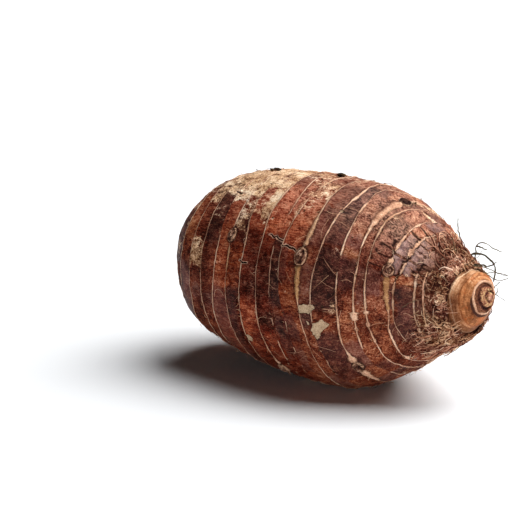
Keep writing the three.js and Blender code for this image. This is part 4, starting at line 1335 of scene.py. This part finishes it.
def leaf_bases():
    """Rows from the foot, up the wall and inward over the nested edges to the tip."""
    turn = even_angles(STUB_COLUMNS)
    wall = np.array([place(STUB_FOOT + up, turn, STUB_RADIUS - less) for up, less in STUB_WALL_ROWS])
    inward = (np.arange(STUB_ROWS) / STUB_ROWS)[:, None] + 0 * turn
    turn = turn + 0 * inward
    depth = 10 * inward
    wobble = 0.16 * uneven(turn, depth, 5, 4, 101) + 0.09 * uneven(turn, depth, 13, 2, 102)
    wound = (1 - inward) * STUB_TURNS + turn / (2 * np.pi) + wobble
    part = wound % 1
    edge = smooth(part, 0.0, 0.6) * (1 - smooth(part, 0.86, 1.0))
    deep = 0.45 + 0.55 * smooth(np.sin(turn + 1.9) + 0.5 * uneven(turn, depth, 5, 3, 104), -0.5, 0.9)
    ridge = (1.5 * edge - 0.9) * deep * smooth(inward, 0, 0.12) * (1 - smooth(inward, 0.8, 1))
    dome = STUB_DOME * (1 - (1 - inward) ** 2)
    fine = 0.2 * uneven(turn, depth, 40, 0.8, 103) + 0.12 * uneven(turn, depth, 90, 0.4, 105)
    rows = place(STUB_FOOT + STUB_WALL + dome + ridge + fine * (1 - inward), turn, STUB_RADIUS * (1 - inward))
    rows = rows + STUB_LEAN * (inward**1.3)[..., None]
    rows = np.concatenate([wall, rows]) + NECK_TURNS_UP * STUB_RISE
    # the colour follows the height, so the gaps of the spiral get a painted shade
    fields = {"edge": np.concatenate([0 * turn[:2], 1 - deep * (1 - edge)]),
              "inward": np.concatenate([0 * turn[:2], inward])}
    foot = place(STUB_FOOT + STUB_GAP, 0.0, 0.0) + NECK_TURNS_UP * STUB_RISE
    return closed_rows(rows, (foot, rows[-1].mean(0) + [0.3, 0, 0]), fields)


def leaf_base_material():
    """Rolled sheaths: a dark brown painted shade in the gaps, mottled brown faces, tan inside, and a pinkish
    tip.
    """
    r = Recipe("rolled leaf bases")
    grain = r.noise((1500, 1500, 1500))
    cloud = r.noise((320, 320, 320), distortion=0.8)
    inward = r.field("inward")
    # painted shade: darker where the spiral drops into its gaps
    scale = r.sum((r.field("edge"), 0.7), (grain, 1.1), (cloud, 0.7), (inward, 0.3), -1.2)
    base = r.ramp(scale, (0.12, 34, 12, 10), (0.32, 92, 48, 38), (0.5, 144, 92, 66),
                  (0.7, 190, 144, 110), (0.92, 236, 206, 178))
    olive = r.times(r.step(cloud, 0.45, 0.62, 0, 0.6), r.step(inward, 0.2, 0.45))
    base = r.mix(olive, base, r.ramp(scale, (0.2, 70, 42, 24), (0.7, 196, 166, 112)))
    outermost = r.step(r.sum(inward, (grain, 0.25)), 0.22, 0.45, 0.72, 0)
    base = r.mix(outermost, base, r.ramp(grain, (0.35, 60, 30, 20), (0.7, 126, 80, 54)))
    tip = r.step(inward, 0.72, 0.92, 0, 0.75)
    base = r.mix(tip, base, r.ramp(cloud, (0.35, 150, 92, 74), (0.65, 212, 158, 138)))
    return r.done(base, 0.55, r.sum((grain, 0.6), (cloud, 0.4)), 0.0005, 0.8)


new_piece("leaf_base_stub", leaf_base_material(), [leaf_bases()], ["leaf_bases"])

# %% [markdown]
# ## The fibre collar
#
# Dead sheaths rot to fibres. Close to the neck they are a felted mat, and over the last bands of skin
# they are a tangle of short curls, with longer ones combed back underneath. The mat is a ring of felt:
# a closed outline carried round the axis, with noise on its outer face only, so that its inner face
# stays hidden against the neck.

# %% Mat under the fibres
GROOVE = [(72.2, 18.2), (77.4, 14.9)]  # station, radius
MAT = [(70.6, 20.2), (71.6, 21), (73, 20.5), (75, 18.9), (76.8, 17.3), (77.8, 16.2), (77.5, 15.2),
       (76.6, 15.5), (74, 17.2), (72.4, 18.3), (71.4, 18.9)]  # station, radius, out and back in
MAT_ROWS, MAT_COLUMNS = 40, 340


def mat():
    """A felt ring round the groove: its outer face is pushed in and out by noise at three sizes. Its low
    tone is a painted shade for the gaps between the fibres over it, lighter where the felt bulges.
    """
    line, _ = resampled(MAT + MAT[:1], MAT_ROWS + 1, 2)
    line = line[:-1]
    turn = np.broadcast_to(even_angles(MAT_COLUMNS), (MAT_ROWS, MAT_COLUMNS))
    where, out = line[:, :1] + 0 * turn, line[:, 1:] + 0 * turn
    proud = smooth(out - curve_through(GROOVE, where), 0.8, 2.2)
    felt = 0.45 * uneven(turn, where, 26, 1.6, 111) + 0.35 * uneven(turn, where, 80, 0.9, 112) \
        + 0.25 * uneven(turn, where, 150, 0.5, 113)
    rows = place(where + 0.4 * proud * uneven(turn, where, 40, 1.2, 114), turn, out + proud * felt)
    # painted shade: the mat's tone stays dark, lighter where the felt noise pushes out
    return closed_ring(rows[::-1, ::-1], {"tone": (0.05 + 0.3 * felt)[::-1, ::-1], "tip": 0 * felt})


collar_parts = [mat()]
print("mat:", len(collar_parts[0][0]), "points")

# %% [markdown]
# Hair tools would lay fibres quickly but leave no real mesh, so each fibre is a thin tapering tube
# along an arc. All of a group are worked out at once: one array holds where each fibre starts, another
# how fast it turns, and the arc is the sum of a direction that turns evenly,
# `length / turn x (sin, -cos)`. Two stretches of the last bands lie bare on the real thing, so the
# curls that would start there start nearer the neck. The corky edge of the last leaf scar stands out
# of the curls like a pale cord.

# %% Fibres
rng = np.random.default_rng(2024)
OVER_NECK = np.array([  # station, radius
    (71.3, 20.5), (74, 20.2), (78, 17.2), (84, 13.6), (88, 10.5), (96, 10.5),
])
FIBRE_CLEAR, FIBRE_SEAT = 0.5, 0.35  # mm over the table, at least, and over the skin's outline
NECK_FROM = 72  # station past which fibres lie on the mat and neck
BARE = [(3.6, 104, 134, 9), (2.4, 154, 208, 8)]  # mm that starts move, from angle, to angle, fade in degrees
LAST_SCAR = np.array([  # angle in degrees, station
    (136, 67.9), (146, 68), (156, 68.4), (164, 68.9), (172, 69.2), (180, 69.3), (192, 69.5), (203, 69.5),
])


def arcs(start, around, length, heading, turning, steps):
    """Stations and angles along each fibre: an arc on the skin from a start, a heading and a turn."""
    t = np.linspace(0, 1, steps)[None]
    turning = np.where(np.abs(turning) < 0.05, 0.05, turning)[:, None]  # no turn would divide by 0
    heading, length = heading[:, None], length[:, None]
    x = length / turning * (np.sin(heading + turning * t) - np.sin(heading))
    y = -length / turning * (np.cos(heading + turning * t) - np.cos(heading))
    radius = curve_through(OUTLINE, np.clip(start, -87, 79))[:, None]
    return start[:, None] + x, around[:, None] + y / radius, t


def over_skin(where, around, lift):
    """Points at a height over the skin, or over the neck and mat past the last band, and never under
    the table: at the belly they are pressed into the root."""
    neck_radius = np.interp(where, *OVER_NECK.T)
    skin_radius = curve_through(OUTLINE, np.minimum(where, 75)) + swell(where, around) + FIBRE_SEAT
    out = np.where(where > NECK_FROM, neck_radius, skin_radius)
    points = place(where, around, out + lift)
    points[..., 2] = np.maximum(points[..., 2], FIBRE_CLEAR - AXIS_HEIGHT)
    return points


def tangle(count, stations, lengths, humps, radii, steps, sides, turning, angles=None, heading=None, ends=0):
    """A crowd of short curls: arcs with a hump in the middle, each thinning towards its tip. They start
    between two stations, crowded by a power, all round or near some angles, and head anywhere or near
    one heading. Turning is the spread of their bend in radians, and ends is how far tips may rise."""
    low, high, crowding = stations
    start = low + (high - low) * rng.random(count) ** crowding
    around = rng.uniform(0, 2 * np.pi, count) if angles is None else np.radians(
        rng.choice(angles, count) + rng.normal(0, 14, count))
    facing = np.degrees(around) % 360
    clear = sum(move * window(facing, first, last, fade) for move, first, last, fade in BARE)
    start = np.minimum(start + clear, np.maximum(start, 76.5))
    length = rng.uniform(*lengths, count)
    way = rng.uniform(0, 2 * np.pi, count) if heading is None else rng.normal(heading, 0.45, count)
    where, bearing, t = arcs(start, around, length, way, rng.normal(0, turning, count), steps)
    hump = rng.uniform(*humps, count)[:, None]
    rise = rng.random(count)[:, None] ** 3 * ends
    lift = 0.12 + hump * np.sin(np.pi * t) + rise * t**2
    wave = 0.15 * np.sin(9 * t + 6.3 * rng.random(count)[:, None])
    taper = rng.uniform(*radii, count)[:, None] * (1 - 0.65 * t)
    clump = 0.5 + 0.5 * uneven(around, start, 22, 3.2, 131)
    tone = (0.95 * rng.random(count) ** 1.4 + 0.5 * clump - 0.18)[:, None] + 0 * t
    return strands(over_skin(where, bearing, lift + wave), taper, sides, {"tone": tone, "tip": t + 0 * tone})


def scar_edge():
    """The corky edge of the last leaf scar, where it stands out of the curls."""
    t = np.linspace(0, 1, 70)[None]
    around = LAST_SCAR[0, 0] + (LAST_SCAR[-1, 0] - LAST_SCAR[0, 0]) * t
    where = curve_through(LAST_SCAR, around)
    around = np.radians(around)
    rough = uneven(around, where, 130, 9, 141)
    radii = (0.36 + 0.1 * rough) * (1 - 0.5 * np.abs(2 * t - 1) ** 3)
    lift = 0.95 + 0.3 * uneven(around, where, 40, 9, 142)
    return strands(over_skin(where, around, lift), radii, 6, {"tone": 0.85 + 0.25 * rough, "tip": 0 * t})


def fibre_material():
    """Dead fibre: every fibre has its own tone, and tips are paler. In clouds it runs from a dark
    mauve brown to pink, and in drier ones to straw."""
    r = Recipe("dead fibre")
    grain = r.noise((1400, 1400, 1400))
    cloud = r.noise((120, 120, 120), detail=2)
    scale = r.sum((r.field("tone"), 0.75), (grain, 0.5), (cloud, 0.35), (r.field("tip"), 0.1), -0.36)
    mauve = r.ramp(scale, (0.08, 40, 13, 10), (0.28, 94, 46, 34), (0.5, 152, 96, 74),
                   (0.75, 208, 158, 130), (1, 240, 204, 178))
    straw = r.ramp(scale, (0.08, 38, 16, 9), (0.28, 92, 50, 30), (0.5, 150, 102, 70),
                   (0.75, 206, 162, 122), (1, 240, 210, 172))
    clouds = r.noise((75, 90, 90))
    dry = r.step(r.sum(clouds, (r.field("tone"), 0.12)), 0.5, 0.66, 0, 0.75)
    return r.done(r.mix(dry, mauve, straw), 0.7, grain, 0.0002, 0.6)


NEAR_BELLY, ON_TOP, FAR_TOP = [226, 238, 250, 264, 280], [50, 62, 74, 84, 94], [30, 48, 64, 80]
NEAR_SIDE, NEAR_LOW = [142, 156, 170, 184, 198], [208, 218, 228, 236, 244]
FOOT_BELOW, FOOT_ABOVE = [215, 240, 265, 290, 315, 332], [10, 30, 50, 70, 92]
BACKWARD, FORWARD, SIDEWAYS = np.pi, 0.0, np.pi / 2  # headings: from the neck, to its tip, round it
# Each row has a count, stations and crowding, lengths, humps, radii, points, sides and turning. Some
# also have angles, a heading, and how far their ends rise.
CURLS = [
    (800, (65.2, 77.5, 0.6), (1.4, 4.2), (0.1, 1.3), (0.15, 0.3), 8, 4, 4),
    (480, (66.4, 77.5, 0.6), (1.2, 3.4), (0.2, 1.6), (0.26, 0.46), 8, 5, 3),
    (130, (58, 67, 0.8), (1.5, 4), (0.1, 0.7), (0.1, 0.2), 8, 4, 3),
    (170, (63.5, 69.5, 0.8), (0.8, 2), (0.1, 0.7), (0.12, 0.26), 8, 4, 3.5, NEAR_SIDE),
    (150, (66, 76, 1), (4, 9), (0.3, 1.6), (0.15, 0.28), 11, 4, 2),
    (190, (66.5, 77, 1), (4, 9), (0.2, 1.6), (0.2, 0.42), 11, 5, 0.9, NEAR_BELLY, BACKWARD + 0.5, 1.8),
    (150, (61, 74, 1), (4, 10), (0.4, 2.2), (0.2, 0.42), 11, 5, 2.4, ON_TOP, BACKWARD, 2.5),
    (90, (62, 75, 1), (2.5, 7), (0.2, 1), (0.14, 0.24), 9, 4, 3, FAR_TOP, None, 3),
    (60, (76, 78.2, 1), (2, 5), (0.2, 0.8), (0.1, 0.2), 7, 4, 2, None, FORWARD, 1.5),
    (60, (75.6, 77.6, 1), (4, 10), (0.1, 0.6), (0.12, 0.22), 10, 4, 0.6, None, SIDEWAYS),
    (200, (76.2, 79, 1), (2, 6), (0.1, 0.9), (0.2, 0.4), 8, 5, 2.5, FOOT_BELOW),
    (130, (76.8, 79.4, 1), (1.6, 5), (0, 0.7), (0.2, 0.42), 8, 5, 2.5, FOOT_ABOVE),
    (110, (61, 67, 1), (2, 5), (0.1, 0.9), (0.14, 0.3), 9, 4, 2, NEAR_LOW),
]
collar_parts += [tangle(*group) for group in CURLS]
collar_parts.append(scar_edge())
new_piece("fibre_collar", fibre_material(), collar_parts, ["crown_fibres"])

# %% [markdown]
# ## Rootlets
#
# A few wiry rootlets stand out of the collar. They make the root's most delicate outline, so chance
# doesn't place them: each follows a smooth curve through listed points, given as station, angle and
# distance from the axis. A little chance and two waves on the radius make every one slightly knotty.

# %% Rootlets
ROOTLETS = [  # radius, then the route as (station, angle, distance)
    (0.6, [(74, 60, 18), (70.5, 56, 24), (75, 46, 26), (79.5, 35, 24), (81, 23, 18)]),
    (0.36, [(74.5, 52, 18), (72, 54, 25), (72, 57, 29), (75, 55, 31), (79, 49, 30), (83, 44, 30)]),
    (0.5, [(75.5, 74, 17.5), (79.5, 63, 18.5), (83.5, 57, 19), (86.5, 56, 21.5)]),
    (0.36, [(57.5, 46, 29.2), (58.5, 48.5, 31.3), (58, 52.5, 33.3), (57, 56.5, 36.5), (57, 60, 40.5)]),
    (0.32, [(76, 80, 17), (80, 75, 17.5), (84, 66, 17.5), (89, 53, 16.5), (93, 44, 17)]),
    (0.32, [(77, 72, 16.5), (83, 70, 16), (90, 68, 12.5), (94, 63, 12.5), (97, 58, 14)]),
    (0.46, [(77, 290, 14.5), (76, 279, 17.3), (74.5, 275, 19.6), (74, 271, 20.6), (74, 263, 20.2)]),
    (0.3, [(86, 28, 9.6), (88, 38, 11.6), (90, 42.5, 13.6)]),
    (0.26, [(86, 10, 9.6), (87, 16, 11), (88, 29, 12.4)]),
    (0.3, [(75, 350, 17.5), (73, 345, 23), (70, 340, 27), (66, 336, 30)]),
    (0.24, [(74.5, 296, 19), (70, 290, 23), (64, 284, 28), (60, 276, 30.5)]),
    (0.26, [(75, 5, 17.5), (72, 1, 24), (74, -6, 28), (79, -10, 28)]),
    (0.2, [(74.5, 172, 19), (70, 168, 22), (65, 172, 25.8), (61, 178, 28.9)]),
    (0.42, [(72, 57, 28.4), (74, 53, 28.6), (76, 50, 28.4)]),
    (0.22, [(76, 98, 17), (80, 92, 19), (83, 84, 22), (85, 80, 26)]),
    (0.22, [(70, 84, 22), (68, 84, 27), (66, 82, 31)]),
    (0.22, [(62, 66, 27), (60, 64, 31), (60, 62, 34)]),
    (0.22, [(76, 40, 17), (82, 36, 20), (88, 30, 21)]),
]
ROOTLET_STEPS, ROOTLET_SIDES = 34, 8


def rootlet(number, thickness, route):
    """A tube along a curve through the route: bumps and a slow taper change its radius."""
    knots = place(*(np.array(route, float).T * [[1], [np.pi / 180], [1]]))
    run = np.concatenate([[0], np.cumsum(np.linalg.norm(np.diff(knots, axis=0), axis=1))])
    even = np.linspace(0, run[-1], ROOTLET_STEPS)
    line = np.stack([curve_through(np.stack([run, knots[:, k]], -1), even) for k in range(3)], -1)
    kink = np.random.default_rng(number).normal(0, 0.07, (ROOTLET_STEPS, 3))
    line[1:-1] += (kink[:-2] + kink[1:-1] + kink[2:]) * min(1, 3 * thickness)
    t = np.linspace(0, 1, ROOTLET_STEPS)
    knotty = 1 + 0.16 * np.sin(23 * t + number) + 0.1 * np.sin(41 * t + 2 * number)
    radii = thickness * (1 - 0.45 * t) * knotty
    tone = 0.2 + 0.3 * draw(number) + 0 * t
    return strands(line[None], radii[None], ROOTLET_SIDES, {"tone": tone, "tip": t})


def rootlet_material():
    """Dark dry root bark with grey-green and tan patches."""
    r = Recipe("rootlet bark")
    grain = r.noise((1300, 1300, 1300))
    cloud = r.noise((160, 160, 160), detail=2)
    scale = r.sum((r.field("tone"), 0.5), (cloud, 0.6), (grain, 0.25), (r.field("tip"), 0.15), -0.25)
    base = r.ramp(scale, (0.15, 44, 36, 28), (0.4, 78, 66, 50), (0.65, 112, 96, 72), (0.9, 160, 138, 108))
    return r.done(base, 0.6, grain, 0.0002, 0.6)


rootlet_parts = [rootlet(number, *one) for number, one in enumerate(ROOTLETS)]
new_piece("rootlets", rootlet_material(), rootlet_parts)

# %% [markdown]
# ## Loose bits
#
# Up close a root is never clean. Ring lines fray into short pale bristles, thin hairs lie across the
# bands, and a few crumbs of dry soil stick to the top. Small as they are, they break up the outline,
# and that tells the eye that a thing is real.

# %% Bristles and hairs


def bristles(count):
    """Short frayed ends on the ring lines, leaning along the root."""
    ring = rng.integers(2, len(RINGS) - 1, count)
    around = rng.uniform(0, 2 * np.pi, count)
    start = np.array([float(ring_station(i, a)) for i, a in zip(ring, around)])
    where, bearing, t = arcs(start, around, rng.uniform(0.7, 2.2, count), rng.uniform(0, 6.3, count),
                             rng.normal(0, 1.5, count), 4)
    lift = 0.25 + rng.uniform(0.0, 0.8, count)[:, None] * t
    radii = rng.uniform(0.07, 0.16, count)[:, None] * (1 - 0.6 * t)
    return strands(over_skin(where, bearing, lift), radii, 3,
                   {"tone": rng.uniform(0.5, 1.0, count)[:, None] + 0 * t, "tip": t + 0 * lift})


hair_parts = [bristles(520), tangle(150, (-70, 66, 0.8), (4, 13), (0.1, 0.7), (0.07, 0.12), 9, 3, 1.2)]
new_piece("skin_hairs", fibre_material(), hair_parts)

# %% [markdown]
# A few crumbs on top, where they catch the light, are listed one by one, and the rest fall by chance.
# Scattered copies of one grain would be lighter, but the eye soon finds copies.

# %% Crumbs of soil
CRUMBS = [(-48.5, 86, 2.1, 0.8), (-50.5, 88, 1.2, 0.6), (-7.5, 83, 2.3, 0.9), (-5, 84, 1.3, 0.7),
          (38, 76, 0.7, 0.5)]  # station, angle, half its length, half its height
SMALL_CRUMBS = 70
CRUMB_ROWS, CRUMB_COLUMNS = 7, 11
CRUMB_LIFT = 0.5  # mm from the skin's outline to a crumb's middle


def crumb(where, at, length, height, number):
    """A lumpy grain half sunk in the skin: a squashed ball with noise on its radius."""
    tilt = np.linspace(0.25, np.pi - 0.25, CRUMB_ROWS)[:, None]
    turn = even_angles(CRUMB_COLUMNS)[None]
    lump = 1 + 0.28 * uneven(turn + 0 * tilt, 3 * tilt + number, 5, 1, 121)
    x = length * lump * np.cos(tilt) + 0 * turn
    y = 0.75 * length * lump * np.sin(tilt) * np.cos(turn)
    z = height * lump * np.sin(tilt) * np.sin(turn)
    base, theta = curve_through(OUTLINE, where), np.radians(at)
    rows = place(where + x, theta + y / base, base + swell(where, theta) + CRUMB_LIFT + z)
    return closed_rows(rows[::-1], (rows[-1].mean(0), rows[0].mean(0)), {"tone": draw(number) + 0 * x})


def soil_material():
    """Dry dark soil."""
    r = Recipe("dry soil")
    grain = r.noise((1500, 1500, 1500), detail=4)
    base = r.ramp(r.sum((grain, 0.8), (r.field("tone"), 0.3)), (0.3, 30, 22, 16), (0.8, 96, 74, 52))
    return r.done(base, 0.9, grain, 0.0005, 1)


small = [(rng.uniform(-70, 64), rng.uniform(-50, 225), rng.uniform(0.25, 0.6), rng.uniform(0.2, 0.4))
         for _ in range(SMALL_CRUMBS)]
crumb_parts = [crumb(*one, number) for number, one in enumerate(CRUMBS + small)]
new_piece("soil_crumbs", soil_material(), crumb_parts)

# %% [markdown]
# ## The studio
#
# The root lies on a plain pale table. A large soft light hangs above it, a little behind and to the
# right, close enough to shade the root softly. A long, low strip in front only grazes the table, so
# it lights the near side without washing out the dark shadow where root and table meet. Far from the
# root the table glows, so that it runs into white on every side.
#
# The camera looks down a little, from the growing end. Its lens follows from the number of pixels that
# a millimetre should cover at the root's middle.

# %% Table, lights and camera
VIEW_ROUND, VIEW_DOWN = np.radians(41.6), np.radians(14.05)
VIEW_DISTANCE = 1150.0  # mm
SENSOR = 36.0  # mm across
PICTURE = 510  # pixels across
PIXELS_PER_MM = 2.0  # at the root's middle
ROOT_AT = (343.4, 279.5)  # pixel of the root's middle in the render
TABLE_HALF, TABLE_CELLS = 6.0, 120  # metres from its middle to its edge, and cells along it
LIT_MIDDLE = (0.25, 0.2)  # of the light on the table, in metres
GLOW = (0.45, 1.15)  # metres from there at which the table begins to glow and glows fully
WORLD_STRENGTH = 0.003  # hardly any light comes from nowhere

right = np.array([np.cos(VIEW_ROUND), np.sin(VIEW_ROUND), 0])
level = np.array([np.sin(VIEW_ROUND), -np.cos(VIEW_ROUND), 0])
back = level * np.cos(VIEW_DOWN) + np.array([0, 0, np.sin(VIEW_DOWN)])
upward = np.cross(back, right)


def point_at(thing, eye, toward, top):
    """Turns a camera or light so that it looks against toward, with its top to the top direction."""
    across = np.cross(top, toward)
    across /= np.linalg.norm(across)
    axes = np.stack([across, np.cross(toward, across), toward], 1)
    thing.matrix_world = Matrix.Translation(eye) @ Matrix(axes.tolist()).to_4x4()


def add_camera():
    """The camera's aim is off the root's middle by the root's place in the render."""
    data = bpy.data.cameras.new("camera")
    data.sensor_width = SENSOR
    data.lens = SENSOR * VIEW_DISTANCE * PIXELS_PER_MM / PICTURE
    camera = new_object("camera", data)
    aside = (ROOT_AT[0] - PICTURE / 2) / PIXELS_PER_MM
    below = (ROOT_AT[1] - PICTURE / 2) / PIXELS_PER_MM
    eye = (origin + back * VIEW_DISTANCE - right * aside + upward * below) * MM
    point_at(camera, eye, back, np.array([0, 0, 1.0]))
    bpy.context.scene.camera = camera
    print("camera", np.round(eye, 3), "lens", round(data.lens, 1))


def add_light(name, position, width, height, power):
    """A soft light aimed at the root: its width and height in metres, its power in watts."""
    data = bpy.data.lights.new(name, "AREA")
    data.shape, data.size, data.size_y, data.energy = "RECTANGLE", width, height, power
    light = new_object(name, data)
    position = np.array(position)
    toward = position - origin * MM
    point_at(light, position, toward / np.linalg.norm(toward), np.array([0, 0.01, 1.0]))


def add_table():
    """A wide plain floor just under the root. Far from the root it glows, like a lit white sweep."""
    side = np.linspace(-TABLE_HALF, TABLE_HALF, TABLE_CELLS + 1)
    x, y = np.meshgrid(side, side)
    corners = np.stack([x.ravel(), y.ravel(), np.full(x.size, -TABLE_GAP * MM)], -1)
    row, column = np.meshgrid(np.arange(TABLE_CELLS), np.arange(TABLE_CELLS), indexing="ij")
    first = (row * (TABLE_CELLS + 1) + column).ravel()
    faces = np.stack([first, first + 1, first + TABLE_CELLS + 2, first + TABLE_CELLS + 1], -1)
    mesh = bpy.data.meshes.new("table")
    mesh.from_pydata(corners.tolist(), [], faces.tolist())
    far = smooth(np.hypot(corners[:, 0] - LIT_MIDDLE[0], corners[:, 1] - LIT_MIDDLE[1]), *GLOW)
    mesh.attributes.new("far", "FLOAT", "POINT").data.foreach_set("value", far.astype(np.float32))
    table = new_object("table", mesh)
    r = Recipe("pale table")
    r.finish.inputs["Emission Color"].default_value = (1, 1, 1, 1)
    r.put(r.finish.inputs["Emission Strength"], r.field("far"))
    mesh.materials.append(r.done(colour(241, 243, 245), 0.6))


add_camera()
add_table()
add_light("large soft light", (0.36, 0.44, 1.0), 1.1, 1.1, 29.5)
add_light("low strip", (1.05, -0.8, 0.05), 0.9, 0.08, 7.2)
world = bpy.data.worlds.new("studio")
world.use_nodes = True
sky = world.node_tree.nodes["Background"].inputs
sky["Color"].default_value = (1, 1, 1, 1)
sky["Strength"].default_value = WORLD_STRENGTH
bpy.context.scene.world = world
bpy.context.scene.view_settings.view_transform = "Standard"
